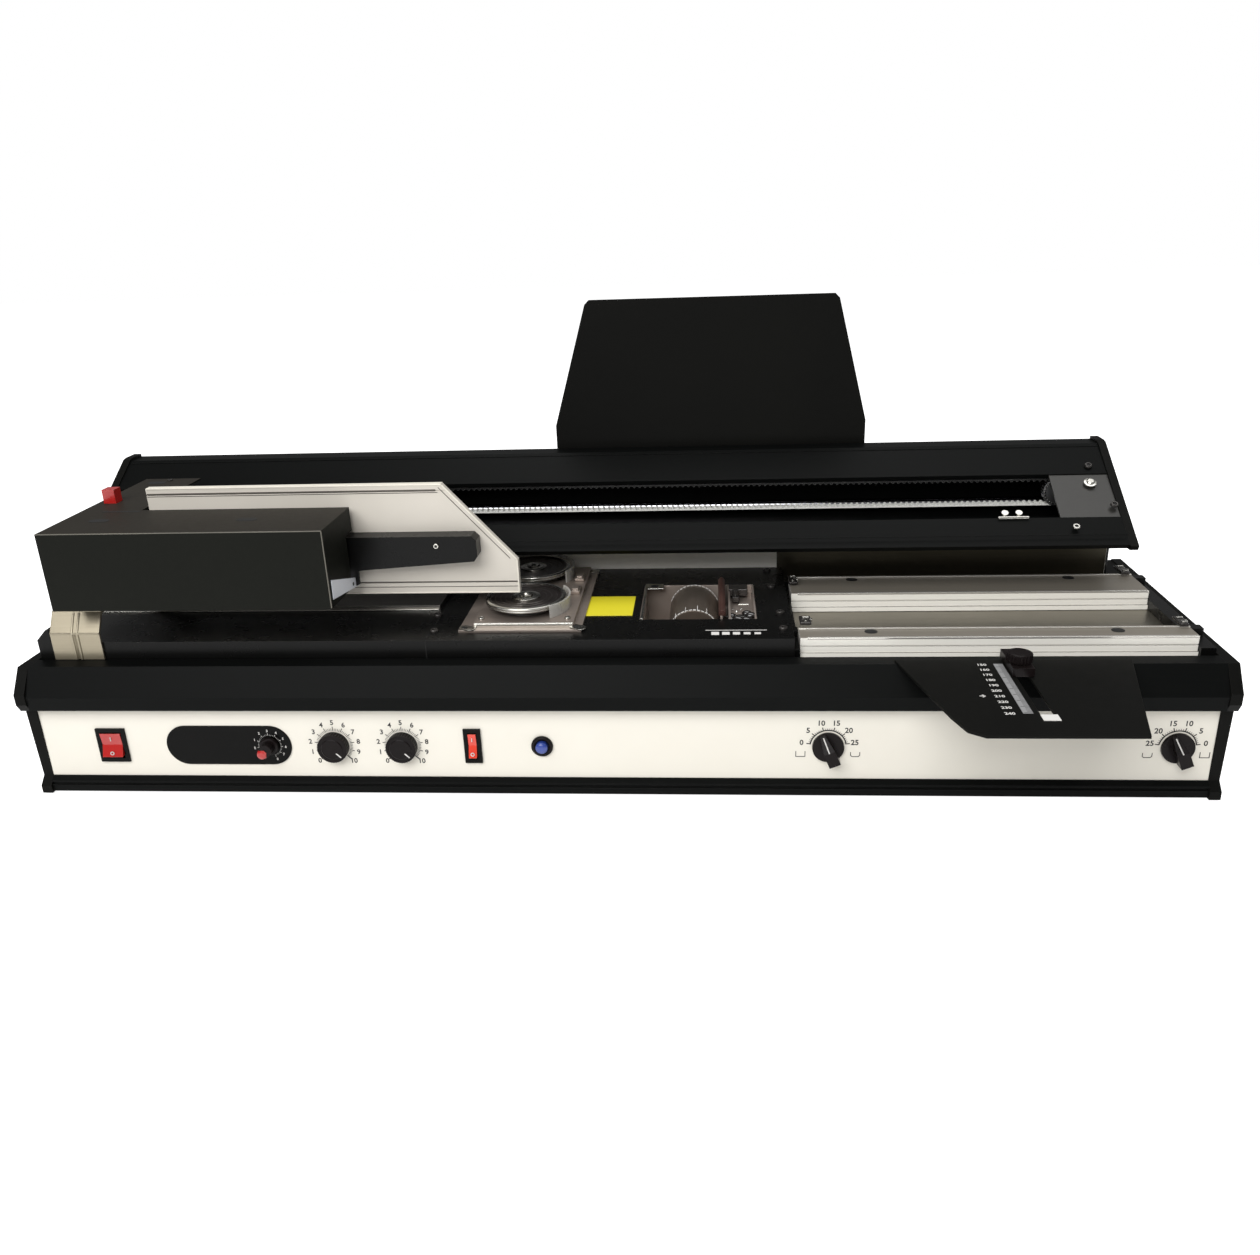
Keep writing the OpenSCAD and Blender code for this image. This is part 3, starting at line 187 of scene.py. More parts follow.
def build_edges():
    """Rounds corners in the shading and paints them a little lighter, partly as wear and partly as
    a painted highlight along each edge.
    """
    group, given, made = effect(
        "worn_and_highlit_edges",
        [("Colour", COLOUR, WHITE), ("Rubbed", COLOUR, WHITE), ("Radius", FLOAT, 0.001),
         ("Amount", FLOAT, 0.4)],
        [("Colour", COLOUR), ("Normal", VECTOR)],
    )
    rounded = group.nodes.new("ShaderNodeBevel")
    rounded.samples = 4
    group.links.new(given.outputs["Radius"], rounded.inputs["Radius"])
    flat = group.nodes.new("ShaderNodeNewGeometry").outputs["Normal"]
    turned = group.nodes.new("ShaderNodeVectorMath")
    turned.operation = "DOT_PRODUCT"
    group.links.new(rounded.outputs[0], turned.inputs[0])
    group.links.new(flat, turned.inputs[1])
    place = group.nodes.new("ShaderNodeTexCoord").outputs["Object"]
    patchy = noise(group, place, EDGE_PATCHES, 3.0)
    edge_wear_and_highlight = math_node(group, "SUBTRACT", 1.0, turned.outputs["Value"])
    edge_wear_and_highlight = math_node(group, "MULTIPLY", math_node(group, "MULTIPLY", edge_wear_and_highlight, WEAR_AND_HIGHLIGHT_GAIN), patchy)
    edge_wear_and_highlight = math_node(group, "MULTIPLY", edge_wear_and_highlight, given.outputs["Amount"])
    edge_wear_and_highlight = math_node(group, "MINIMUM", edge_wear_and_highlight, 1.0)
    group.links.new(
        mix_colour(group, edge_wear_and_highlight, given.outputs["Colour"], given.outputs["Rubbed"]),
        made.inputs["Colour"],
    )
    group.links.new(rounded.outputs[0], made.inputs["Normal"])
    return group


GRAIN, BRUSHING, EDGES = build_grain(), build_brushing(), build_edges()


def use(tree, group, **values):
    """Places a shared effect in a material, with its own values or links."""
    node = tree.nodes.new("ShaderNodeGroup")
    node.node_tree = group
    for name, value in values.items():
        socket = node.inputs[name.replace("_", " ")]
        if hasattr(value, "is_output"):
            tree.links.new(value, socket)
        else:
            socket.default_value = value
    return node


LOOKS_UP = 0.7
TOP_STREAK = 0.8
# The colour of the painted shade on the belt's upper run
PAINTED_SHADE = linear(20, 20, 20)
EDGE_RADIUS = 0.0006
BUMP_STRENGTH = 0.5


def upward(tree, kind, output):
    """The upward part of a node's vector: how far a face looks up, or a spot's height."""
    parts = tree.nodes.new("ShaderNodeSeparateXYZ")
    tree.links.new(tree.nodes.new("ShaderNode" + kind).outputs[output], parts.inputs[0])
    return parts.outputs["Z"]


def finish(name, base, tint, roughness, spread=0.12, grain=900.0, stretch=None, bump=0.00004,
           edge=None, edge_amount=0.4, metallic=0.0, specular=0.5, coat=0.0, top=None,
           shade_above=None):
    """A procedural material: grain or brushing, then edges painted lighter, partly as wear and
    partly as painted highlights.

    The bump's depth and the edges' radius are in metres.

    With a top colour, faces that look up take it in place of the base colour: painted light and
    shade on the tops, lighter or darker than the sides for how light falls on them. Given a
    height, everything above it takes a painted shade as dark as rubber.
    """
    material = bpy.data.materials.new(name)
    material.use_nodes = True
    tree = material.node_tree
    shader = tree.nodes["Principled BSDF"]
    if stretch:
        skin = use(tree, BRUSHING, Base=base, Streak=tint, Stretch=stretch,
                   Roughness=roughness, Spread=spread)
    else:
        skin = use(tree, GRAIN, Base=base, Blotch=tint, Grain_Scale=grain,
                   Roughness=roughness, Spread=spread)
    under = skin.outputs["Colour"]
    # Painted light and shade: faces that look up take the top colour in place of the base colour
    if top:
        factor = math_node(tree, "GREATER_THAN", upward(tree, "NewGeometry", "Normal"), LOOKS_UP)
        streak = (*(channel * TOP_STREAK for channel in top[:3]), 1)
        upper = use(tree, BRUSHING, Base=top, Streak=streak, Stretch=stretch)
        under = mix_colour(tree, factor, under, upper.outputs["Colour"])
    # Painted shade: everything above the given height is painted as dark as rubber in shadow
    if shade_above:
        factor = math_node(tree, "GREATER_THAN", upward(tree, "TexCoord", "Object"), shade_above)
        under = mix_colour(tree, factor, under, PAINTED_SHADE)
    # Corners painted lighter: partly wear, partly a painted highlight
    edges = use(tree, EDGES, Colour=under, Rubbed=edge or tint,
                Radius=EDGE_RADIUS, Amount=edge_amount)
    raised = tree.nodes.new("ShaderNodeBump")
    raised.inputs["Strength"].default_value = BUMP_STRENGTH
    raised.inputs["Distance"].default_value = bump
    tree.links.new(skin.outputs["Height"], raised.inputs["Height"])
    tree.links.new(edges.outputs["Normal"], raised.inputs["Normal"])
    tree.links.new(edges.outputs["Colour"], shader.inputs["Base Color"])
    tree.links.new(skin.outputs["Roughness"], shader.inputs["Roughness"])
    tree.links.new(raised.outputs["Normal"], shader.inputs["Normal"])
    shader.inputs["Metallic"].default_value = metallic
    shader.inputs["Specular IOR Level"].default_value = specular
    shader.inputs["Coat Weight"].default_value = coat
    return material


# Noise cells a metre along each axis: streaks run where there are fewest
ALONG_X = (18.0, 900.0, 900.0)
ALONG_Z = (500.0, 500.0, 40.0)
ACROSS_Y = (120.0, 900.0, 120.0)
EVEN = (240.0, 240.0, 240.0)
# In metres: all that stands above this is the belt's upper run, painted dark as the beam's shadow
BELT_SPLIT = ((corners("toothed_belt")[0][2] + corners("toothed_belt")[1][2]) / 2 + 1) * MM

# Each edge colour below is painted on a finish's corners, partly as wear and partly as a painted
# highlight along the edge
side_paint = finish("black_side_paint", linear(12, 12, 11), linear(17, 17, 15), 0.48,
                    edge=linear(52, 52, 50), specular=0.05)
rail_anodised = finish("black_anodised_rail", linear(7, 8, 8), linear(13, 14, 13), 0.45,
                       stretch=ALONG_X, edge=linear(58, 58, 56), specular=0.05)
panel_paint = finish("cream_panel_paint", linear(236, 232, 221), linear(230, 225, 213), 0.4,
                     grain=600.0, bump=0.00001, edge=linear(250, 248, 240), specular=0.3)
deck_paint = finish("semi_gloss_deck_paint", linear(9, 9, 9), linear(14, 14, 13), 0.28,
                    spread=0.08, edge=linear(70, 70, 66), specular=0.12)
wall_paint = finish("cream_wall_paint", linear(250, 247, 238), linear(240, 236, 226), 0.35,
                    specular=0.4)
plate_steel = finish("brushed_plate_steel", linear(150, 146, 140), linear(110, 108, 104), 0.32,
                     stretch=ALONG_X, metallic=1.0)
zinc_sheet = finish("zinc_plated_sheet", linear(170, 170, 170), linear(140, 140, 142), 0.38,
                    grain=60.0, metallic=1.0)
champagne = finish("champagne_anodised", linear(156, 147, 127), linear(130, 122, 104), 0.3,
                   stretch=ALONG_X, metallic=0.55, edge=linear(240, 234, 214))
disc_steel = finish("turned_disc_steel", linear(84, 76, 74), linear(62, 56, 54), 0.3,
                    stretch=ALONG_Z, metallic=0.9, edge=linear(190, 186, 180),
                    edge_amount=0.8)
tray_steel = finish("satin_tray_steel", linear(172, 160, 150), linear(128, 116, 108), 0.34,
                    stretch=ALONG_X, metallic=0.6, edge=linear(230, 226, 220))
tank_steel = finish("glue_stained_steel", linear(196, 186, 178), linear(128, 112, 100), 0.3,
                    grain=90.0, metallic=0.5)
roller_steel = finish("knurled_roller_steel", linear(150, 138, 126), linear(112, 100, 90), 0.3,
                      grain=1500.0, bump=0.0003, metallic=0.8)
# The jaws' tops take a grey top colour: painted shade, darker than their fronts
jaw_aluminium = finish("brushed_jaw_aluminium", linear(252, 250, 242), linear(244, 240, 230), 0.34,
                       stretch=ALONG_X, metallic=0.05, edge=linear(248, 247, 243),
                       top=linear(128, 122, 112))
# Painted highlights: bright strips along the jaws' top edges
jaw_highlight = finish("painted_jaw_highlight", linear(236, 233, 226), linear(214, 210, 202), 0.24,
                  stretch=ALONG_X, metallic=0.7)
olive_metal = finish("dark_olive_metal", linear(54, 51, 42), linear(78, 74, 62), 0.3,
                     stretch=ALONG_X, metallic=0.8, edge=linear(120, 116, 104))
ruler_strip = finish("grey_ruler_print", linear(150, 150, 150), linear(134, 134, 135), 0.5)
rust_brown = finish("rust_brown_steel", linear(92, 62, 54), linear(62, 40, 36), 0.4,
                    grain=160.0, metallic=0.4, edge=linear(140, 104, 92))
glue_black = finish("dried_black_glue", linear(18, 16, 15), linear(34, 30, 28), 0.16,
                    grain=60.0, bump=0.0004, specular=0.6, coat=0.5)
# Painted highlight: pale strips along the carriage cover's front edges
edge_highlight_paint = finish("painted_edge_highlight", linear(110, 106, 95), linear(72, 70, 62), 0.4,
                    grain=200.0)
tab_steel = finish("pale_tab_steel", linear(238, 241, 248), linear(214, 218, 226), 0.35,
                   stretch=ALONG_X, metallic=0.1)
hem_shadow = finish("grey_hem_shadow", linear(92, 86, 78), linear(66, 61, 56), 0.6)
clamp_edge = finish("pale_clamp_edge", linear(238, 233, 220), linear(222, 216, 202), 0.35,
                    stretch=ALONG_X)
bed_aluminium = finish("satin_bed_aluminium", linear(140, 134, 122), linear(116, 112, 102), 0.3,
                       stretch=ALONG_X, metallic=0.9)
rod_chrome = finish("polished_rod_chrome", linear(200, 200, 204), linear(180, 180, 186), 0.12,
                    grain=80.0, metallic=1.0)
# The belt's upper run is painted dark, as the beam's shadow
belt_rubber = finish("white_belt_rubber", linear(236, 236, 231), linear(218, 218, 212), 0.6,
                     shade_above=BELT_SPLIT)
bracket_paint = finish("grey_bracket_paint", linear(50, 49, 46), linear(40, 39, 37), 0.42,
                       stretch=ACROSS_Y, metallic=0.2, edge=linear(110, 108, 104))
# The cover's top takes a lighter top colour: a painted highlight from the light above
cover_paint = finish("charcoal_cover_paint", linear(22, 23, 19), linear(17, 18, 15), 0.5,
                     stretch=EVEN, edge=linear(90, 86, 76), edge_amount=0.5,
                     specular=0.07, top=linear(44, 41, 36))
clamp_paint = finish("cream_clamp_paint", linear(212, 206, 196), linear(200, 194, 183), 0.4,
                     edge=linear(248, 246, 236), specular=0.4)
knob_plastic = finish("black_knob_plastic", linear(11, 9, 9), linear(26, 20, 20), 0.3,
                      spread=0.2, edge=linear(70, 62, 62), specular=0.1)
orange_plastic = finish("orange_switch_plastic", linear(226, 66, 40), linear(206, 46, 28), 0.25,
                        edge=linear(246, 140, 110), specular=0.5, coat=0.3)
window_plastic = finish("black_window_plastic", linear(3, 3, 3), linear(7, 7, 6), 0.24,
                        edge=linear(46, 40, 40), specular=0.08)
red_plastic = finish("red_switch_plastic", linear(196, 28, 22), linear(150, 16, 14), 0.25,
                     edge=linear(240, 110, 90), specular=0.5, coat=0.3)
blue_plastic = finish("blue_button_plastic", linear(44, 72, 158), linear(34, 56, 134), 0.3,
                      edge=linear(110, 140, 215), specular=0.5, coat=0.3)
foot_rubber = finish("foot_rubber", linear(26, 26, 26), linear(36, 36, 36), 0.8)
board_green = finish("board_lacquer", linear(24, 92, 52), linear(18, 74, 42), 0.35)
motor_paint = finish("motor_paint", linear(66, 66, 68), linear(52, 52, 54), 0.4, metallic=0.3)
print_ink = finish("black_print", linear(14, 12, 12), linear(28, 25, 24), 0.6)
white_ink = finish("white_print", linear(226, 224, 220), linear(208, 206, 202), 0.6)
yellow_plate = finish("yellow_plate", linear(222, 212, 44), linear(212, 198, 30), 0.45,
                      edge=linear(240, 232, 120))
bright_screw = finish("bright_screw_steel", linear(206, 204, 198), linear(170, 168, 160), 0.22,
                      grain=300.0, metallic=1.0)
black_screw = finish("black_screw_steel", linear(52, 50, 50), linear(74, 71, 68), 0.26,
                     grain=300.0, metallic=0.6)
dark_hole = finish("dark_recess", linear(10, 10, 10), linear(16, 16, 15), 0.7)

NODE_FINISH = {
    side_paint: ["left_side_plate", "right_side_plate", "rear_panel", "beam_posts",
                 "cover_tray", "guide_plate", "rear_clamp_plate", "rear_shelf", "beam_caps"],
    rail_anodised: ["front_rail", "bottom_rail", "beam"],
    panel_paint: ["front_panel"],
    deck_paint: ["left_deck", "middle_deck", "clamp_arm", "jaw_hooks"],
    wall_paint: ["deck_walls"],
    plate_steel: ["levelling_plate"],
    zinc_sheet: ["base_pan", "carriage_frame", "carriage_block", "drive_pulley",
                 "idler_pulley"],
    champagne: ["carriage_rest"],
    disc_steel: ["front_notch_disc", "rear_notch_disc"],
    tray_steel: ["notch_tray"],
    tank_steel: ["glue_tank", "glue_scraper"],
    roller_steel: ["glue_roller"],
    jaw_aluminium: ["front_jaw", "rear_jaw"],
    bed_aluminium: ["nip_bed"],
    rod_chrome: ["guide_rods"],
    belt_rubber: ["toothed_belt"],
    bracket_paint: ["idler_bracket"],
    cover_paint: ["carriage_cover"],
    clamp_paint: ["front_clamp_plate"],
    window_plastic: ["switch_frames"],
    knob_plastic: ["guide_stop", "stop_knob", "pressure_knob", "time_knob",
                   "temperature_knob", "left_spine_knob", "right_spine_knob", "power_inlet"],
    red_plastic: ["power_rocker", "carriage_button"],
    orange_plastic: ["mode_rocker"],
    blue_plastic: ["start_button"],
    foot_rubber: ["rubber_feet"],
    board_green: ["control_board"],
    motor_paint: ["notch_motors", "glue_motor", "glue_heater", "drive_motor", "clamp_motor"],
}


def dress_nodes():
    """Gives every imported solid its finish."""
    for material, names in NODE_FINISH.items():
        for name in names:
            for slot in nodes[name].material_slots:
                slot.material = material


GUARD_ALPHA = 0.35


def clear_guard():
    """Clear plastic for the disc guards, faintly smoked."""
    material = bpy.data.materials.new("clear_guard_plastic")
    material.use_nodes = True
    tree = material.node_tree
    shader = tree.nodes["Principled BSDF"]
    skin = use(tree, GRAIN, Base=linear(228, 226, 220), Blotch=linear(212, 210, 204),
               Grain_Scale=200.0, Roughness=0.12, Spread=0.06)
    tree.links.new(skin.outputs["Colour"], shader.inputs["Base Color"])
    tree.links.new(skin.outputs["Roughness"], shader.inputs["Roughness"])
    shader.inputs["Alpha"].default_value = GUARD_ALPHA
    return material


# ---- Making pieces ---------------------------------------------------------------


def face_along(direction):
    """Turns +Z to a direction."""
    return direction.normalized().to_track_quat("Z", "Y").to_matrix().to_4x4()


def add_block(bm, low, high, bevel=0.0):
    """A box between two corners, with its edges rounded by bevel millimetres."""
    low, high = at(*low), at(*high)
    middle, size = (low + high) / 2, high - low
    place = Matrix.Translation(middle) @ Matrix.Diagonal((*size, 1))
    made = bmesh.ops.create_cube(bm, size=1, matrix=place)
    if bevel:
        edges = list({e for v in made["verts"] for e in v.link_edges})
        bmesh.ops.bevel(bm, geom=edges, offset=bevel * MM, segments=2, profile=0.5,
                        affect="EDGES", material=-1)


def add_rod(bm, start, direction, length, radius, top_radius=None, sides=32):
    """A capped rod or cone in millimetres, from a start place along a direction."""
    end = top_radius if top_radius is not None else radius
    place = Matrix.Translation(at(*start)) @ face_along(direction)
    place = place @ Matrix.Translation((0, 0, length * MM / 2))
    return bmesh.ops.create_cone(bm, cap_ends=True, cap_tris=False, segments=sides,
                                 radius1=radius * MM, radius2=end * MM,
                                 depth=length * MM, matrix=place)


def close_prism(bm, low, high):
    """Faces between two matching loops of vertices, and over both of them."""
    bm.faces.new(low[::-1])
    bm.faces.new(high)
    for index, vert in enumerate(low):
        after = (index + 1) % len(low)
        bm.faces.new((vert, low[after], high[after], high[index]))


def add_turned(bm, profile, start, direction, sides=40):
    """A turned shape from a profile of (radius, height) pairs in millimetres."""
    verts = [bm.verts.new((radius * MM, 0, height * MM)) for radius, height in profile]
    edges = [bm.edges.new(pair) for pair in zip(verts, verts[1:])]
    done = bmesh.ops.spin(bm, geom=verts + edges, cent=(0, 0, 0), axis=(0, 0, 1),
                          angle=2 * pi, steps=sides, use_merge=True, use_duplicate=False)
    shape = set(verts)
    for item in done["geom_last"]:
        if isinstance(item, bmesh.types.BMVert):
            shape.add(item)
    grown = set(shape)
    border = list(shape)
    while border:
        for edge in border.pop().link_edges:
            for vert in edge.verts:
                if vert not in grown:
                    grown.add(vert)
                    border.append(vert)
    grown = [v for v in grown if v.is_valid]
    bmesh.ops.transform(bm, matrix=Matrix.Translation(at(*start)) @ face_along(direction),
                        verts=grown)
    bmesh.ops.remove_doubles(bm, verts=grown, dist=1e-6)


def piece(name, bm, material, body, smooth=False):
    """Turns a finished bmesh into a named piece that moves with a body."""
    bmesh.ops.recalc_face_normals(bm, faces=bm.faces)
    mesh = bpy.data.meshes.new(name)
    for face in bm.faces:
        face.smooth = smooth
    bm.to_mesh(mesh)
    bm.free()
    mesh.materials.append(material)
    made = bpy.data.objects.new(name, mesh)
    bpy.context.scene.collection.objects.link(made)
    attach(made, body)
    return made


PRINT_LIFT = 0.12
# A number's height as a share of the font's size, and how much its strokes are swelled
CAP_HEIGHT, SWELL = 0.72, 0.03


def add_words(bm, text, height, place, right, up, thick=PRINT_LIFT):
    """Raised numbers, centred on a place, that read along right with their tops along up."""
    curve = bpy.data.curves.new("number", "FONT")
    curve.body = text
    curve.size = height * MM / CAP_HEIGHT
    curve.align_x = "CENTER"
    curve.align_y = "CENTER"
    curve.resolution_u = 3
    curve.offset = height * MM * SWELL
    curve.extrude = thick * MM / 2
    holder = bpy.data.objects.new("number", curve)
    bpy.context.scene.collection.objects.link(holder)
    flat = bpy.data.meshes.new_from_object(
        holder.evaluated_get(bpy.context.evaluated_depsgraph_get()))
    out = right.cross(up)
    turn = Matrix((right, up, out)).transposed().to_4x4()
    flat.transform(Matrix.Translation(at(*place) + out * (thick * MM / 2)) @ turn)
    bm.from_mesh(flat)
    bpy.data.objects.remove(holder)
    bpy.data.curves.remove(curve)
    bpy.data.meshes.remove(flat)


def add_mark(bm, centre, along, across, out, length, width, thick=PRINT_LIFT):
    """A short printed stroke: a thin bar on a face."""
    turn = Matrix((along, across, out)).transposed().to_4x4()
    place = Matrix.Translation(at(*centre) + out * (thick * MM / 2)) @ turn
    place = place @ Matrix.Diagonal((length * MM, width * MM, thick * MM, 1))
    bmesh.ops.create_cube(bm, size=1, matrix=place)


# ---- Controls --------------------------------------------------------------------

CTRL_Z = (corners("pressure_knob")[0][2] + corners("pressure_knob")[1][2]) / 2
FRONT = -Y
TEN_SWEEP = (-135, 135)
SPINE_SWEEP = (-81, 81)
TEMPERATURE_SWEEP = (-100, 160)
WINDOW_LIFT = 1.0


def around(x, radius, degrees, out=0.0):
    """A place on a dial: degrees clockwise from the top, as seen from the front."""
    turn = radians(degrees)
    return (x + radius * sin(turn), -out, CTRL_Z + radius * cos(turn))


def spoke(degrees):
    """The direction out along a dial's scale mark."""
    turn = radians(degrees)
    return Vector((sin(turn), 0, cos(turn)))


def add_ticks(bm, x, inner, outer, angles, width, out=0.0):
    """Printed strokes between two radii of a dial."""
    for degrees in angles:
        along = spoke(degrees)
        add_mark(bm, around(x, (inner + outer) / 2, degrees, out), along, along.cross(FRONT),
                 FRONT, outer - inner, width)


def spread(first, last, count):
    """count values from first to last."""
    return [first + (last - first) * index / (count - 1) for index in range(count)]


def add_scale(bm, x, numbers, sweep, height, ring, inner, long, short, fine, widths, out=0.0):
    """Numbers on a ring, a long mark at each of them and fine, shorter marks between."""
    angles = spread(*sweep, len(numbers))
    for number, degrees in zip(numbers, angles):
        add_words(bm, str(number), height, around(x, ring, degrees, out), X, Z)
    add_ticks(bm, x, inner, long, angles, widths[0], out)
    add_ticks(bm, x, inner, short, spread(*sweep, fine), widths[1], out)
    return angles


def ten_scale(name, x):
    """The 0 to 10 scale round a knob, with longer strokes at both ends."""
    bm = bmesh.new()
    inner, end_mark, end_width = 13.4, 18.4, 1.0
    angles = add_scale(bm, x, range(11), TEN_SWEEP, height=4.4, ring=20.8, inner=inner,
                       long=17.2, short=15.6, fine=51, widths=(0.6, 0.36))
    add_ticks(bm, x, inner, end_mark, angles[::10], end_width)
    piece(name, bm, print_ink, "base")


def add_spine_shape(bm, centre, rounded):
    """The end of a book's spine: square corners, or cut ones where it is rounded."""
    foot, half, line = CTRL_Z - 9.2, 3.7, 0.6
    side_length, base_length = (3.0, 5.0) if rounded else (4.6, 8.0)
    for side in (-1, 1):
        add_mark(bm, (centre + side * half, 0, foot + 2.6), Z, X, FRONT, side_length, line)
        if rounded:
            add_mark(bm, (centre + side * (half - 0.6), 0, foot + 0.6),
                     Vector((side, 0, 1)).normalized(), Vector((-1, 0, side)).normalized(),
                     FRONT, 1.9, line)
    add_mark(bm, (centre, 0, foot), X, Z, FRONT, base_length, line)


def spine_scale(name, x, numbers):
    """The half round scale of a spine knob, with the shape of each spine below its ends."""
    bm = bmesh.new()
    add_scale(bm, x, numbers, SPINE_SWEEP, height=4.6, ring=21.6, inner=14.2, long=17.6,
              short=16.2, fine=26, widths=(0.8, 0.36))
    arc_radius, arc_width, arc_step, shape_reach = 14.5, 1.0, 1.15, 22
    stops = spread(*SPINE_SWEEP, 41)
    for start, stop in zip(stops, stops[1:]):
        middle = (start + stop) / 2
        across = spoke(middle)
        add_mark(bm, around(x, arc_radius, middle), across.cross(FRONT), across, FRONT,
                 arc_step, arc_width)
    flat_side = -1 if numbers[0] == 0 else 1
    for side in (-1, 1):
        add_spine_shape(bm, x + side * shape_reach, rounded=side != flat_side)
    piece(name, bm, print_ink, "base")


def temperature_scale():
    """White marks and numbers on the dark window."""
    bm = bmesh.new()
    add_scale(bm, mid_x("temperature_knob"), range(9), TEMPERATURE_SWEEP, height=2.2,
              ring=13.6, inner=9.2, long=11.2, short=10.2, fine=33, widths=(0.5, 0.25),
              out=WINDOW_LIFT)
    piece("temperature_scale", bm, white_ink, "base")


def rocker_marks():
    """The O on each rocker's lower half and the I on its upper half, which leans back."""
    tilt = radians(-6)
    up = Vector((0, -sin(tilt), cos(tilt)))
    height, thick = 3.2, 0.5
    for node, body in (("power_rocker", "power"), ("mode_rocker", "mode")):
        face = (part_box(node)[0].y - PANEL_Y) / MM
        bm = bmesh.new()
        for mark, depth, rise in (("O", 0.75, -6.4), ("I", 2.4, 6.2)):
            add_words(bm, mark, height, (mid_x(node), face + depth, CTRL_Z + rise), X, up, thick)
        piece(body + "_rocker_marks", bm, white_ink, body)


def start_rim():
    """The dark bezel's rolled lip round the blue button."""
    bm = bmesh.new()
    add_turned(bm, [(6.0, 1.6), (6.4, 2.3), (7.2, 2.6), (8.2, 2.3), (8.9, 1.6), (8.9, 0.4)],
               (mid_x("start_button"), 0, CTRL_Z), FRONT)
    piece("start_button_rim", bm, knob_plastic, "base", smooth=True)


dress_nodes()
guard_plastic = clear_guard()
for guard_slot in nodes["notch_guards"].material_slots:
    guard_slot.material = guard_plastic
ten_scale("pressure_scale", mid_x("pressure_knob"))
ten_scale("time_scale", mid_x("time_knob"))
spine_scale("left_spine_scale", mid_x("left_spine_knob"), range(0, 26, 5))
spine_scale("right_spine_scale", mid_x("right_spine_knob"), range(25, -1, -5))
temperature_scale()
rocker_marks()
start_rim()

# ---- Decks, discs and glue unit --------------------------------------------------

DECK_Z = corners("middle_deck")[1][2]
DECK_SCREWS = ((-149.5, 76), (-144, 39), (140, 190), (141.5, 144), (145.6, 77.5), (146, 40.5))
YELLOW_PLATE = ((-27, 73), (20, 121))
DASH_X, DASH_STEP, DASH_Y = 90.5, 8.6, 31.5
DASH_WIDTHS = (6.4, 6.2, 5.9, 5.6, 5.3)


def cap_screws(name, places, direction, radius, material, body="base"):
    """Round screw heads with a hexagon socket."""
    bm = bmesh.new()
    for place in places:
        add_turned(bm, [(radius * 0.5, 0.6), (radius * 0.5, radius * 0.62),
                        (radius * 0.82, radius * 0.62), (radius, radius * 0.4), (radius, 0)],
                   place, direction, sides=20)
    piece(name, bm, material, body)
    bm = bmesh.new()
    for place in places:
        add_rod(bm, place, direction, radius * 0.35, radius * 0.52, sides=6)
    piece(name + "_sockets", bm, dark_hole, body)


def add_oval(bm, centre, long, wide, length, width, thick, sides=28):
    """A flat oval or slot shape that lies along one direction."""
    out = long.cross(wide)
    low, high = [], []
    reach = (length - width) / 2
    for index in range(sides):
        turn = 2 * pi * index / sides
        shift = reach if cos(turn) > 0 else -reach
        spot = at(*centre) + (long * (shift + cos(turn) * width / 2)
                              + wide * (sin(turn) * width / 2)) * MM
        low.append(bm.verts.new(spot))
        high.append(bm.verts.new(spot + out * thick * MM))
    close_prism(bm, low, high)


def disc_fittings(node, body):
    """A cutting disc's ground rim, its clamping washer, nut and locating pin."""
    (_, front, _), (right, back, top) = corners(node)
    rim = (back - front) / 2
    axis = (right - rim, (front + back) / 2)
    proud = rim + 0.4
    bm = bmesh.new()
    add_turned(bm, [(rim - 0.3, -3.9), (proud, -3.6), (proud, -2.6), (rim, -2.3),
                    (proud, -2.0), (proud, -0.3), (rim - 0.1, 0.12), (rim - 3.5, 0.12),
                    (rim - 3.9, -0.3)], (*axis, top), Z, sides=96)
    piece(body + "_ground_rim", bm, bright_screw, body, smooth=True)
    bm = bmesh.new()
    for radius in (17.5, 22.0, 26.5):
        add_turned(bm, [(radius, -1.3), (radius, -1.0), (radius + 0.5, -1.0),
                        (radius + 0.5, -1.3)], (*axis, top), Z, sides=72)
    piece(body + "_turned_lines", bm, disc_steel, body)
    bm = bmesh.new()
    add_turned(bm, [(6.0, -0.6), (6.0, 0.3), (9.0, 0.5), (12.2, 0.1), (12.2, -1.6)],
               (*axis, top), Z, sides=48)
    add_rod(bm, (*axis, top - 0.5), Z, 2.2, 5.4, sides=6)
    add_rod(bm, (*axis, top + 1.6), Z, 1.5, 2.6, 1.8, sides=24)
    piece(body + "_hub_nut", bm, bright_screw, body)


def tray_fittings():
    """The tray's slotted ears, its bright front edge and two latches beside the discs."""
    (left, front, low), (right, back, top) = corners("notch_tray")
    ears = ((left + 7, front + 4, -24), (right - 6, back - 6, 24), (right - 3, front + 5, -28))
    bm = bmesh.new()
    for x, y, degrees in ears:
        long = Vector((cos(radians(degrees)), sin(radians(degrees)), 0))
        add_oval(bm, (x, y, low + 2), long, Z.cross(long), 15, 9, 0.9)
    add_block(bm, (left + 12.5, front + 5.2, low + 0.4), (right - 7.5, front + 6, top - 0.4), 0.3)
    add_block(bm, (left + 12.2, front + 5.4, top - 0.6), (right - 7.2, front + 6.8, top + 0.3),
              0.3)
    piece("tray_ears", bm, bright_screw, "base")
    bm = bmesh.new()
    for x, y, degrees in ears:
        long = Vector((cos(radians(degrees)), sin(radians(degrees)), 0))
        add_oval(bm, (x - 2, y, low + 2.85), long, Z.cross(long), 5.5, 3, 0.25)
    piece("tray_ear_slots", bm, dark_hole, "base")
    bm = bmesh.new()
    latch = right - 18
    for y in (front + 76, front + 111):
        add_block(bm, (latch, y, top), (latch + 8.5, y + 17, top + 2.6), 0.5)
        add_block(bm, (latch + 1.5, y + 3, top + 2.4), (latch + 7, y + 13, top + 4.2), 0.5)
    piece("tray_latches", bm, tray_steel, "base")
    cap_screws("tray_screws", [(left + 17, front + 16, top), (right - 13, front + 16, top),
                               (left + 17, back - 16, top)], Z, 2.6, bright_screw)


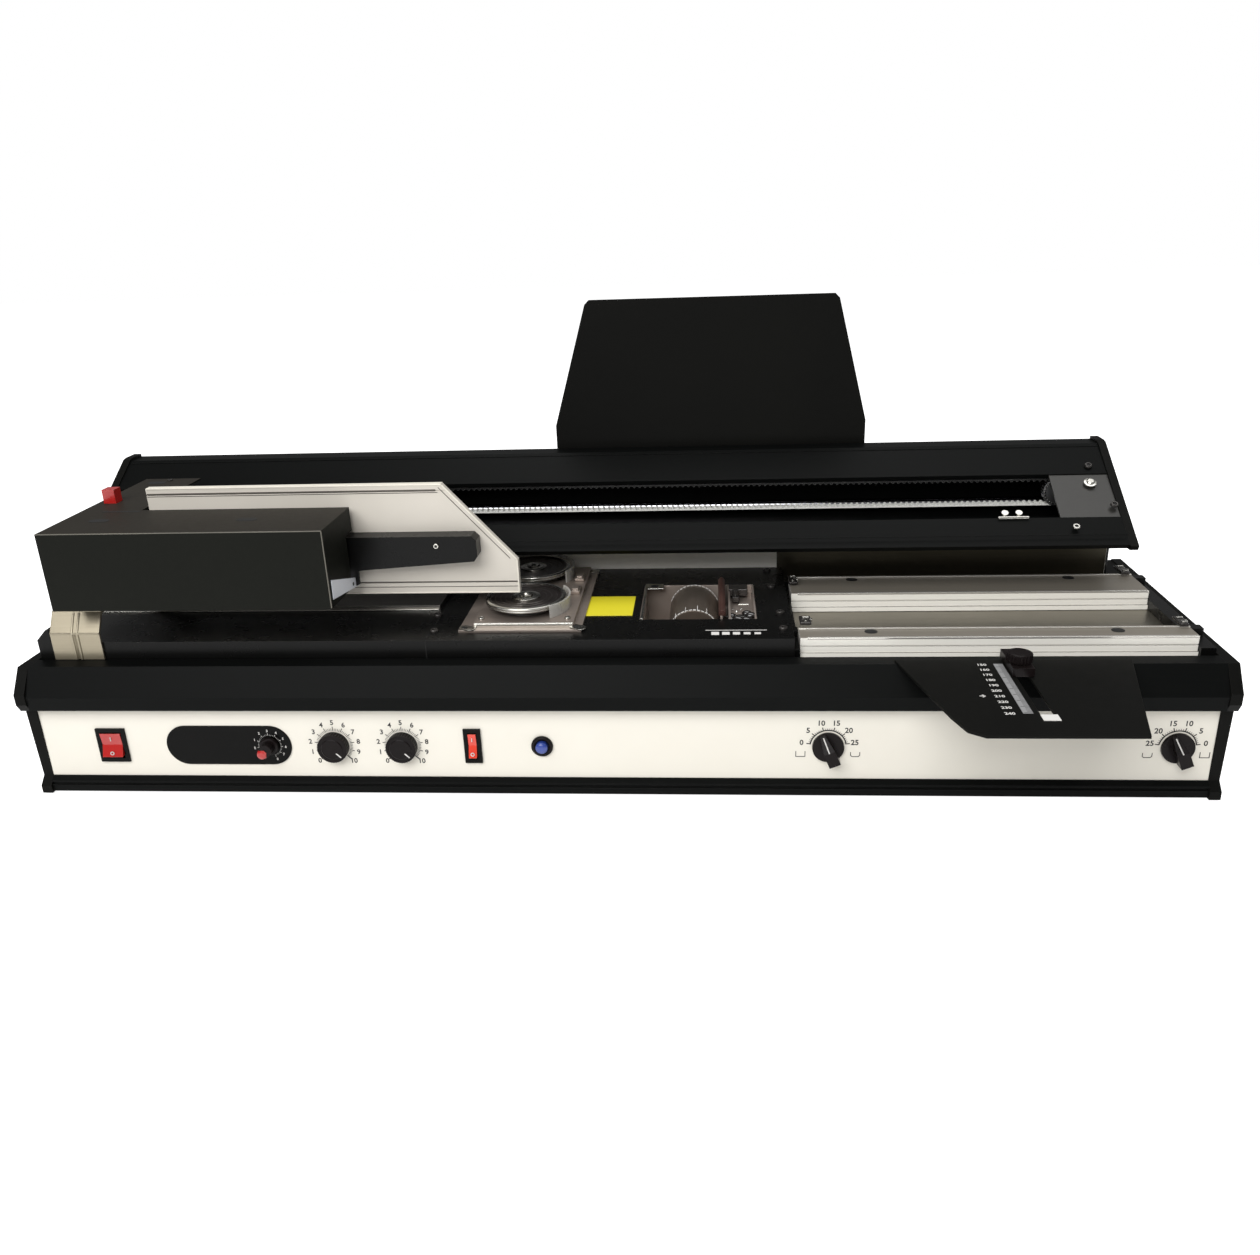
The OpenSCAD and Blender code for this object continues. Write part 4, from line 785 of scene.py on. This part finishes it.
def deck_fittings():
    """Deck screws, the yellow plate, white dashes, the decks' seam and the wall's lining."""
    cap_screws("deck_screws", [(x, y, DECK_Z) for x, y in DECK_SCREWS], Z, 3.6, black_screw)
    bm = bmesh.new()
    low, high = YELLOW_PLATE
    add_block(bm, (*low, DECK_Z), (*high, DECK_Z + 0.5), 0.1)
    piece("yellow_plate", bm, yellow_plate, "base")
    bm = bmesh.new()
    for index, width in enumerate(DASH_WIDTHS):
        add_mark(bm, (DASH_X + index * DASH_STEP, DASH_Y, DECK_Z), X, Y, Z, width,
                 6.6 - index * 0.6)
    add_mark(bm, (DASH_X + 17, DASH_Y + 6.9, DECK_Z), X, Y, Z, 50, 1.1)
    piece("deck_dashes", bm, white_ink, "base")
    (seam, front, _), (wall, back, _) = corners("middle_deck")
    bm = bmesh.new()
    add_mark(bm, (seam, front, DECK_Z - 8.5), Z, X, FRONT, 16, 0.7, 0.15)
    add_mark(bm, (seam, (front + back) / 2, DECK_Z), Y, X, Z, 180, 0.6, 0.1)
    piece("deck_seam", bm, dark_hole, "base")
    bm = bmesh.new()
    (left, edge, low), (right, _, _) = corners("levelling_plate")
    add_block(bm, (left - 57, edge - 2.2, low), (right - 1, edge, low + 1.3), 0.3)
    piece("levelling_plate_edge", bm, bright_screw, "base")
    bm = bmesh.new()
    add_block(bm, (wall - 4.5, back - 0.8, 118), (453.5, back - 0.1, 153.5))
    piece("wall_lining", bm, olive_metal, "base")


BEAD_ROWS = (77.5, 141.5)
BEAD_ANGLES = range(-70, 66, 9)
THREAD_ANGLES = (-44, -18, 9, 31)


def roller_beads():
    """Drops and threads of glue on the roller."""
    (_, _, low), (right, _, top) = corners("glue_roller")
    radius = (top - low) / 2
    axis_x, axis_z = right - radius, (low + top) / 2
    bm = bmesh.new()
    lift = radius + 0.1
    for y in BEAD_ROWS:
        for degrees in BEAD_ANGLES:
            turn = radians(degrees + (y % 7))
            along = Vector((cos(turn), 0, -sin(turn)))
            out = Vector((sin(turn), 0, cos(turn)))
            width = 1.1 + (degrees % 4) * 0.3
            add_mark(bm, (axis_x + lift * out.x, y, axis_z + lift * out.z), along,
                     out.cross(along), out, 2.6, width, 0.4)
    lift = radius + 0.05
    for degrees in THREAD_ANGLES:
        turn = radians(degrees)
        out = Vector((sin(turn), 0, cos(turn)))
        y = BEAD_ROWS[0] + 4.5 + degrees * 0.05
        add_mark(bm, (axis_x + lift * out.x, y, axis_z + lift * out.z), Y, out.cross(Y), out,
                 12, 0.5, 0.3)
    piece("glue_beads", bm, white_ink, "roller")


# Each lump of gummed glue: its middle and its radius
GLUE_LUMPS = ((104, 73, 127, 5), (110, 70, 129, 4.4), (117, 72, 127, 5.4), (121, 80, 129, 4),
              (112, 80, 126, 5), (105, 86, 126, 3.6), (118, 90, 127, 3.8), (101, 78, 127, 3.4))
SENSOR_PINS = ((109, 84, 131, 1.6), (113, 88, 131.5, 1.2), (106, 91, 130, 1.0))
SENSOR_X, SENSOR_Y = 103, 136


def glue_fittings():
    """The scraper's lip and hinge, the tank's ear, gummed glue and the level sensor."""
    (scraper, front, _), (_, back, lip) = corners("glue_scraper")
    bm = bmesh.new()
    add_block(bm, (scraper - 1.5, front + 0.5, lip - 0.5), (scraper + 4.5, back - 0.5, lip + 3.5),
              0.8)
    add_rod(bm, (scraper + 1.5, front, lip + 2.5), Y, back - front, 2.4, sides=20)
    piece("scraper_lip", bm, rust_brown, "base")
    (left, front, _), (_, back, top) = corners("glue_tank")
    bm = bmesh.new()
    add_block(bm, (left + 0.6, back - 13.6, top + 0.2), (left + 17.6, back - 0.6, top + 1.6), 0.4)
    add_block(bm, (left + 0.8, front + 0.4, top - 5), (left + 3, back - 0.6, top + 1.7), 0.3)
    piece("tank_ear", bm, bright_screw, "base")
    bm = bmesh.new()
    add_oval(bm, (left + 9.1, back - 7.1, top + 1.6), X, Y, 7, 5, 0.2)
    piece("tank_ear_hole", bm, dark_hole, "base")
    bm = bmesh.new()
    for x, y, z, radius in GLUE_LUMPS:
        place = Matrix.Translation(at(x, y, z)) @ Matrix.Diagonal((1.2, 1, 0.75, 1))
        bmesh.ops.create_icosphere(bm, subdivisions=3, radius=radius * MM, matrix=place)
    piece("gummed_glue", bm, glue_black, "base", smooth=True)
    bm = bmesh.new()
    x, y, seat = SENSOR_X, SENSOR_Y, top - 5
    add_block(bm, (x, y, seat), (x + 17, y + 14, seat + 7), 0.8)
    add_block(bm, (x + 3, y - 16, seat), (x + 9, y + 2, seat + 5), 0.6)
    add_rod(bm, (x + 6, y - 8, seat + 5), Z, 4, 3, sides=20)
    piece("level_sensor", bm, black_screw, "base")
    bm = bmesh.new()
    for x, y, z, radius in SENSOR_PINS:
        add_rod(bm, (x, y, z), Z, 1.2, radius, radius * 0.6, sides=12)
    add_rod(bm, (SENSOR_X + 8, SENSOR_Y - 32, top - 1), X, 9, 0.8, sides=12)
    piece("sensor_pins", bm, bright_screw, "base")


# ---- Jaws and guide plate --------------------------------------------------------

# The left, right, front and back of each latch at the jaws' ends
JAW_LATCHES = ((160.5, 170, 52, 68), (158, 166, 154, 174), (461, 468, 44, 62),
               (459.5, 467, 173, 194))
JAW_TOE = 2
WELL_INSET = 58


def jaw_fittings():
    """Bright strips along the jaws' top edges as painted highlights, the latches at the jaws' ends
    and the dark screw wells.
    """
    for node, body in (("front_jaw", "jaw_front"), ("rear_jaw", "jaw_rear")):
        (left, front, _), (right, back, top) = corners(node)
        front += JAW_TOE
        # Painted highlights along the front and back top edges
        bm = bmesh.new()
        add_block(bm, (left + 5.5, front - 0.2, top - 2.6), (right - 0.5, front + 2.4, top - 0.7),
                  0.4)
        add_block(bm, (left + 5.5, back - 3.4, top - 1), (right - 0.5, back - 2.2, top + 0.4),
                  0.3)
        piece(body + "_highlight_strips", bm, jaw_highlight, body)
        bm = bmesh.new()
        for x in (left + WELL_INSET, right - WELL_INSET):
            add_oval(bm, (x, back - 8, top - 0.95), X, Y, 10.5, 8.5, 0.25)
        piece(body + "_screw_wells", bm, dark_hole, body)
    top = corners("front_jaw")[1][2]
    bm = bmesh.new()
    for left, right, front, back in JAW_LATCHES:
        add_block(bm, (left, front, top + 0.5), (right, back, top + 3.2), 0.8)
    piece("jaw_latches", bm, black_screw, "base")
    bm = bmesh.new()
    for left, right, front, back in JAW_LATCHES:
        middle = (left + right) / 2
        add_rod(bm, (middle, front + 4, top + 3), Z, 1.2, 1.8, sides=16)
        add_rod(bm, (middle - 2, back - 5, top + 3.6), X, 5, 0.8, sides=12)
        add_block(bm, (right - 1, front + 7, top + 1), (right + 1.2, front + 10, top + 3.4), 0.4)
    piece("latch_pins", bm, bright_screw, "base")


GUIDE_TOP = corners("guide_plate")[1][2]
RULER_LEFT, RULER_RIGHT, RULER_FRONT, RULER_BACK = 304.6, 311.6, -90, -3
RULER_THICK = 0.3
NUMBER_X, NUMBER_Y, NUMBER_STEP = 295.5, -4.5, 9.5
ARROW_X, ARROW_Y = 283, -61
END_PAD = ((315.5, -101.5), (327.5, -92))
GRIP_STEP = 15


def guide_scale():
    """The ruler beside the guide's slot, its plain numbers, the arrow and the end pad."""
    ruler_top = GUIDE_TOP + RULER_THICK
    bm = bmesh.new()
    add_block(bm, (RULER_LEFT, RULER_FRONT, GUIDE_TOP), (RULER_RIGHT, RULER_BACK, ruler_top))
    piece("guide_ruler", bm, ruler_strip, "base")
    bm = bmesh.new()
    for index in range(44):
        length = 6.0 if index % 5 == 0 else 3.4
        add_mark(bm, (RULER_RIGHT - 0.2 - length / 2, RULER_FRONT + 1 + index * 2, ruler_top),
                 X, Y, Z, length, 0.4, 0.08)
    piece("guide_ruler_ticks", bm, print_ink, "base")
    bm = bmesh.new()
    for index, number in enumerate(range(150, 250, 10)):
        add_words(bm, str(number), 3.6, (NUMBER_X, NUMBER_Y - index * NUMBER_STEP, GUIDE_TOP),
                  X, Y)
    add_mark(bm, (ARROW_X, ARROW_Y, GUIDE_TOP), X, Y, Z, 3.6, 1.0)
    for side in (-1, 1):
        slope = Vector((-1, side, 0)).normalized()
        add_mark(bm, (ARROW_X + 1.4, ARROW_Y + side, GUIDE_TOP), slope, Z.cross(slope), Z, 3.0,
                 1.0)
    piece("guide_numbers", bm, white_ink, "base")
    bm = bmesh.new()
    low, high = END_PAD
    add_block(bm, (*low, GUIDE_TOP), (*high, GUIDE_TOP + 0.5), 0.1)
    piece("guide_end_pad", bm, white_ink, "base")


def stop_grip():
    """The ribs and the crown of the knob that clamps the guide's stop."""
    (left, front, _), (right, back, _) = corners("stop_knob")
    x, y, radius = (left + right) / 2, (front + back) / 2, (right - left) / 2
    seat = corners("guide_stop")[1][2]
    bm = bmesh.new()
    for degrees in range(0, 360, GRIP_STEP):
        turn = radians(degrees)
        add_rod(bm, (x + radius * sin(turn), y + radius * cos(turn), seat + 0.6), Z, 6, 0.7,
                sides=8)
    add_turned(bm, [(0, 7.4), (7.4, 7.2), (8.7, 6.6), (9.1, 5.6), (9.1, 0.4)],
               (x, y, seat + 0.1), Z)
    piece("stop_knob_grip", bm, knob_plastic, "stop_screw")


# ---- Beam and carriage -----------------------------------------------------------

# The beam's sloping face runs from its upper edge down to its front foot
FACE_TOP = Vector((0, 229, corners("beam")[1][2]))
FACE_FOOT = Vector((0, corners("beam")[0][1], 180))
FACE_DOWN = (FACE_FOOT - FACE_TOP).normalized()
FACE_OUT = X.cross(FACE_TOP - FACE_FOOT).normalized()
CAP_SCREWS = ((214, 222), (240, 184), (150, 182))
# Places on the face: along the machine, then down from its upper edge
FACE_SCREWS = ((428, 31), (439, 82))
BRIGHT_SCREW, IDLER_PIN = (401, 109), (425, 53)
CLIP_LEFT, CLIP_DOWN = 338, 95
LINE_LEFT, LINE_RIGHT = -482, 442


def on_face(x, down, out=0.0):
    """A place on the beam's sloping face, measured down from its top edge."""
    return tuple(Vector((x, 0, 0)) + FACE_TOP + FACE_DOWN * down + FACE_OUT * out)


def beam_fittings():
    """The face's screws, clip and lines, the idler's pin and ridges, and the caps' screws."""
    cap_screws("beam_face_screws", [on_face(*place) for place in FACE_SCREWS], FACE_OUT, 3.4,
               black_screw)
    cap_screws("beam_bright_screw", [on_face(*BRIGHT_SCREW)], FACE_OUT, 3.2, bright_screw)
    bm = bmesh.new()
    add_turned(bm, [(0, 2.4), (2.6, 2.4), (3.4, 1.6), (3.4, 0.8), (5.4, 0.6), (5.4, -0.8)],
               on_face(*IDLER_PIN), FACE_OUT, sides=32)
    for x in (CLIP_LEFT + 6, CLIP_LEFT + 18):
        add_rod(bm, on_face(x, CLIP_DOWN - 4, -3), FACE_OUT, 4.4, 3.0, sides=20)
    add_rod(bm, on_face(CLIP_LEFT, CLIP_DOWN, -1.4), X, 26, 1.6, sides=16)
    piece("idler_pin_head", bm, bright_screw, "base")
    (left, front, low), (right, _, top) = corners("idler_pulley")
    x, z, ridge_radius = (left + right) / 2, (low + top) / 2, 10.6
    bm = bmesh.new()
    for degrees in range(0, 360, GRIP_STEP):
        turn = radians(degrees)
        add_rod(bm, (x + ridge_radius * sin(turn), front - 0.2, z + ridge_radius * cos(turn)), Y,
                12.6, 0.9, sides=8)
    piece("idler_pulley_ridges", bm, bright_screw, "idler_wheel")
    (left, _, _), (right, _, _) = corners("beam_caps")
    for side, x, out in (("left", left, -X), ("right", right, X)):
        cap_screws(side + "_cap_screws", [(x, y, z) for y, z in CAP_SCREWS], out, 2.8,
                   black_screw)
    bm = bmesh.new()
    for down in (4.0, 118.0):
        add_mark(bm, on_face((LINE_LEFT + LINE_RIGHT) / 2, down), X, FACE_DOWN, FACE_OUT,
                 LINE_RIGHT - LINE_LEFT, 0.9, 0.3)
    piece("beam_face_lines", bm, rail_anodised, "base")


COVER_LOW, COVER_HIGH = corners("carriage_cover")
COVER_HOLES = ((-414, 38), (-288, 36), (-429, 168))
COVER_SLOT = (-410, 66)
COVER_SIDE_SCREWS = ((24, 212), (24, 184), (56, 212))
BUTTON_SCREWS = ((-420, 140), (-420, 176))


def cover_fittings():
    """The carriage cover's oval holes, its slot, painted highlights along two of its front edges,
    and screws.
    """
    (left, front, low), (right, _, top) = COVER_LOW, COVER_HIGH
    bm = bmesh.new()
    for x, y in COVER_HOLES:
        add_oval(bm, (x, y, top), X, Y, 17, 9, 0.15)
    add_oval(bm, (*COVER_SLOT, top), X, Y, 34, 3, 0.15)
    piece("cover_holes", bm, dark_hole, "carriage")
    bm = bmesh.new()
    # Painted highlights along the front's right edge and its top edge
    add_block(bm, (right - 0.6, front - 0.25, low + 1), (right + 0.3, front + 0.6, top - 0.4), 0.2)
    add_block(bm, (left + 0.4, front - 0.25, top - 0.7), (right, front + 0.5, top + 0.15), 0.2)
    piece("cover_edge_highlights", bm, edge_highlight_paint, "carriage")
    cap_screws("cover_side_screws", [(left, *place) for place in COVER_SIDE_SCREWS], -X, 2.6,
               black_screw, body="carriage")
    cap_screws("button_screws", [(*place, top) for place in BUTTON_SCREWS], Z, 2.4, black_screw,
               body="carriage")


def add_plate(bm, corner_places, out, thick):
    """A flat plate from its corners in millimetres, thickened along one direction."""
    low = [bm.verts.new(at(*place)) for place in corner_places]
    high = [bm.verts.new(at(*place) + out * thick * MM) for place in corner_places]
    close_prism(bm, low, high)


def arm_fittings():
    """The bright tapered plate on the cover's right side, its hole and the arm's screw."""
    right, thick = COVER_HIGH[0], 0.7
    bm = bmesh.new()
    add_plate(bm, [(right, 6, 189.5), (right, 5, 173.5), (right, 69, 163.5), (right, 69, 170.5)],
              X, thick)
    piece("cover_side_plate", bm, tab_steel, "carriage")
    bm = bmesh.new()
    add_rod(bm, (right + thick, 54, 169.8), X, 0.2, 1.6, sides=20)
    piece("cover_side_plate_hole", bm, dark_hole, "carriage")
    cap_screws("arm_screws", [(-141, corners("clamp_arm")[0][1], 200)], FRONT, 2.4,
               bright_screw, body="front_clamp")


# Each folded line of the clamp plate: its height, right end and width
CLAMP_HEMS = ((243.6, -141, 1.4), (241.6, -139.5, 0.5), (163, -76.5, 1.0), (158.6, -76.5, 0.5))


def clamp_trim():
    """Light edges round the cream clamp plate, and the shadows of its folds."""
    (left, _, low), (right, back, top) = corners("front_clamp_plate")
    face = corners("clamp_arm")[1][1]
    slope = Vector((-0.9, 0, 1)).normalized()
    bm = bmesh.new()
    add_block(bm, (left + 0.5, face - 0.4, top - 0.9), (right - 60, back + 0.2, top + 0.5), 0.3)
    add_block(bm, (left + 0.5, face - 0.4, low - 0.4), (right - 0.4, face + 0.6, low + 1), 0.3)
    add_mark(bm, (-106.2, face, 215.2), slope, Y.cross(slope), FRONT, 88, 1.2, 0.4)
    add_mark(bm, (right - 0.8, face, low + 15), Z, X, FRONT, 28, 1.2, 0.4)
    piece("clamp_plate_edges", bm, clamp_edge, "front_clamp")
    bm = bmesh.new()
    for z, end, width in CLAMP_HEMS:
        start = left + 0.5
        add_mark(bm, ((start + end) / 2, face - 0.05, z), X, Z, FRONT, end - start, width, 0.2)
    add_mark(bm, (-110.6, face - 0.05, 214.6), slope, Y.cross(slope), FRONT, 84, 0.6, 0.2)
    piece("clamp_plate_hems", bm, hem_shadow, "front_clamp")


def rest_fittings():
    """The pressed rib down the rest, and its bright folded edges."""
    (left, front, low), (right, _, top) = corners("carriage_rest")
    middle, rib, rib_radius = (left + right) / 2, 2.4, 1.1
    bm = bmesh.new()
    for side in (-1, 1):
        x = middle + side * rib
        add_rod(bm, (x, front - 0.1, low + 0.3), Z, 22.6, rib_radius, sides=16)
        add_rod(bm, (x, front + 0.2, low + 23.1), Vector((side * -0.05, 10, 16.3)), 18,
                rib_radius, sides=16)
    add_block(bm, (left, front - 0.5, low + 22.6), (right, front + 0.7, low + 24.1), 0.4)
    add_block(bm, (left, front + 9.7, top - 0.6), (right, front + 10.7, top + 0.5), 0.4)
    piece("rest_rib", bm, champagne, "base")


def round_knob_fittings(node, body):
    """The ribs, crown and pointer of a round knob that points to the end of its scale."""
    x, end = mid_x(node), TEN_SWEEP[1]
    bm = bmesh.new()
    for degrees in range(0, 360, 10):
        add_rod(bm, around(x, 12.3, degrees, 1.6), FRONT, 6.2, 0.55, sides=8)
    add_turned(bm, [(0, 0.7), (8.5, 0.7), (9.3, 0.1), (9.3, -0.4)],
               (x, corners(node)[0][1], CTRL_Z), FRONT)
    piece(node + "_grip", bm, knob_plastic, body)
    bm = bmesh.new()
    along = spoke(end)
    add_mark(bm, around(x, 7.6, end, 8.7), along, along.cross(FRONT), FRONT, 5.4, 1.1)
    piece(node + "_pointer", bm, white_ink, body)


def spine_pointer(node, body):
    """The white line along a spine knob's sloping bar."""
    turn = radians(-23)
    tip = Vector((12 * sin(turn), 7.2, 12 * cos(turn)))
    bm = bmesh.new()
    add_rod(bm, (mid_x(node), corners(node)[0][1] - 0.1, CTRL_Z), tip, tip.length * 0.96, 0.55,
            sides=10)
    piece(node + "_pointer", bm, white_ink, body)


def temperature_fittings():
    """The temperature knob's dark skirt and its red cap, which sits off its middle."""
    x, cap_angle, mark_angle, face = mid_x("temperature_knob"), -134, -131, 12
    bm = bmesh.new()
    add_turned(bm, [(5.35, 0), (5.35, 3.4), (7.2, 3.2), (7.9, 2.4), (7.9, 0)],
               (x, -1.3, CTRL_Z), FRONT)
    piece("temperature_skirt", bm, knob_plastic, "temperature")
    bm = bmesh.new()
    add_turned(bm, [(3.4, -7.5), (4.3, -7.5), (4.5, -1.2), (3.9, 0.4), (2.6, 1.0), (0, 1.2)],
               around(x, 4.7, cap_angle, face), FRONT)
    along = spoke(mark_angle)
    add_mark(bm, around(x, 3.2, mark_angle, face), along, along.cross(FRONT), FRONT, 6.0, 3.6,
             0.5)
    piece("temperature_pointer", bm, red_plastic, "temperature")


def start_dome():
    """The start button's rounded top."""
    bm = bmesh.new()
    add_turned(bm, [(0, 2.0), (1.6, 1.9), (3.2, 1.4), (4.4, 0.6), (4.95, -0.4)],
               (mid_x("start_button"), corners("start_button")[0][1], CTRL_Z), FRONT)
    piece("start_button_dome", bm, blue_plastic, "start", smooth=True)


SIDE_SCREWS = [(y, z) for y in (24, 138, 240) for z in (28, 98)]
REAR_SCREWS = [(x, z) for x in (-470, -160, 160, 470) for z in (14, 104)]
TRAY_SCREW_Z, TRAY_SCREW_INSET, INLET_SCREW_INSET = 226, 22, 3.5


def outer_screws():
    """Fixing screws on the side plates, the rear panel, the beam's tray and the inlet."""
    left, right = corners("left_side_plate")[0][0], corners("right_side_plate")[1][0]
    cap_screws("left_side_screws", [(left, y, z) for y, z in SIDE_SCREWS], -X, 3.2, black_screw)
    cap_screws("right_side_screws", [(right, y, z) for y, z in SIDE_SCREWS], X, 3.2, black_screw)
    back = corners("rear_panel")[1][1]
    cap_screws("rear_panel_screws", [(x, back, z) for x, z in REAR_SCREWS], Y, 2.8, black_screw)
    (left, _, _), (right, back, _) = corners("cover_tray")
    places = (left + TRAY_SCREW_INSET, (left + right) / 2, right - TRAY_SCREW_INSET)
    cap_screws("tray_cover_screws", [(x, back, TRAY_SCREW_Z) for x in places], Y, 3.0,
               black_screw)
    (left, _, low), (right, back, top) = corners("power_inlet")
    places = (left + INLET_SCREW_INSET, right - INLET_SCREW_INSET)
    cap_screws("inlet_screws", [(x, back, (low + top) / 2) for x in places], Y, 2.2,
               bright_screw)


disc_fittings("front_notch_disc", "front_disc")
disc_fittings("rear_notch_disc", "rear_disc")
tray_fittings()
deck_fittings()
roller_beads()
glue_fittings()
jaw_fittings()
guide_scale()
stop_grip()
beam_fittings()
cover_fittings()
arm_fittings()
clamp_trim()
rest_fittings()
round_knob_fittings("pressure_knob", "pressure")
round_knob_fittings("time_knob", "time")
spine_pointer("left_spine_knob", "spine_left")
spine_pointer("right_spine_knob", "spine_right")
temperature_fittings()
start_dome()
outer_screws()


# ---- Stage, light and camera -----------------------------------------------------


FLOOR_GLOW = 0.9
FLOOR_REACH = 6.0
WORLD_LIGHT = 0.24
LENS_MM = 30.79
CAMERA_AT = (88.96, -785.78, 459.35)
CAMERA_DOWN, CAMERA_TURN, CAMERA_ROLL = radians(21.42), radians(-4.75), radians(-2.07)
LIGHT_TARGET = Vector((0, 0, 0.1))


def white_floor():
    """A pale floor that looks white to the camera and in reflections, but keeps a shadow."""
    bm = bmesh.new()
    bmesh.ops.create_grid(bm, x_segments=1, y_segments=1, size=FLOOR_REACH)
    mesh = bpy.data.meshes.new("floor")
    bm.to_mesh(mesh)
    bm.free()
    floor = bpy.data.objects.new("floor", mesh)
    bpy.context.scene.collection.objects.link(floor)
    material = bpy.data.materials.new("pale_floor")
    material.use_nodes = True
    tree = material.node_tree
    tree.nodes.clear()
    rays = tree.nodes.new("ShaderNodeLightPath")
    seen = math_node(tree, "MAXIMUM", rays.outputs["Is Camera Ray"],
                     math_node(tree, "MAXIMUM", rays.outputs["Is Glossy Ray"],
                               rays.outputs["Is Transmission Ray"]))
    matte = tree.nodes.new("ShaderNodeBsdfDiffuse")
    matte.inputs["Color"].default_value = (0.8, 0.8, 0.8, 1)
    glow = tree.nodes.new("ShaderNodeEmission")
    tree.links.new(math_node(tree, "MULTIPLY", seen, FLOOR_GLOW), glow.inputs["Strength"])
    both = tree.nodes.new("ShaderNodeAddShader")
    out = tree.nodes.new("ShaderNodeOutputMaterial")
    tree.links.new(matte.outputs[0], both.inputs[0])
    tree.links.new(glow.outputs[0], both.inputs[1])
    tree.links.new(both.outputs[0], out.inputs["Surface"])
    mesh.materials.append(material)


def white_world():
    """A world that is white to the camera and through glass, and dim as a light."""
    world = bpy.data.worlds.new("studio")
    bpy.context.scene.world = world
    world.use_nodes = True
    tree = world.node_tree
    rays = tree.nodes.new("ShaderNodeLightPath")
    seen = math_node(tree, "MAXIMUM", rays.outputs["Is Camera Ray"],
                     rays.outputs["Is Transmission Ray"])
    strength = math_node(tree, "MAXIMUM", seen, WORLD_LIGHT)
    background = tree.nodes["Background"]
    background.inputs["Color"].default_value = (1, 1, 1, 1)
    tree.links.new(strength, background.inputs["Strength"])


def area_light(name, place, size, power):
    """A soft rectangular light, aimed at the machine."""
    lamp = bpy.data.lights.new(name, "AREA")
    lamp.shape = "RECTANGLE"
    lamp.size, lamp.size_y = size
    lamp.energy = power
    holder = bpy.data.objects.new(name, lamp)
    holder.matrix_world = (Matrix.Translation(place)
                           @ (place - LIGHT_TARGET).to_track_quat("Z", "Y").to_matrix().to_4x4())
    bpy.context.scene.collection.objects.link(holder)


def photo_camera():
    """The photograph's viewpoint: how far it looks down, is turned and is rolled."""
    ahead = Vector((sin(CAMERA_TURN) * cos(CAMERA_DOWN), cos(CAMERA_TURN) * cos(CAMERA_DOWN),
                    -sin(CAMERA_DOWN)))
    level = Vector((cos(CAMERA_TURN), -sin(CAMERA_TURN), 0))
    upright = level.cross(ahead)
    right = level * cos(CAMERA_ROLL) + upright * sin(CAMERA_ROLL)
    up = upright * cos(CAMERA_ROLL) - level * sin(CAMERA_ROLL)
    data = bpy.data.cameras.new("photo_camera")
    data.sensor_fit = "HORIZONTAL"
    data.sensor_width = 36.0
    data.lens = LENS_MM
    data.clip_start = 0.01
    camera = bpy.data.objects.new("photo_camera", data)
    camera.matrix_world = (Matrix.Translation(at(*CAMERA_AT))
                           @ Matrix((right, up, -ahead)).transposed().to_4x4())
    bpy.context.scene.collection.objects.link(camera)
    bpy.context.scene.camera = camera


white_floor()
white_world()
area_light("key_light", Vector((-0.6, -1.7, 1.6)), (2.0, 1.4), 55)
area_light("ceiling_light", Vector((0.3, 0.5, 2.2)), (2.4, 1.2), 26)
photo_camera()
bpy.context.scene.view_settings.view_transform = "Standard"
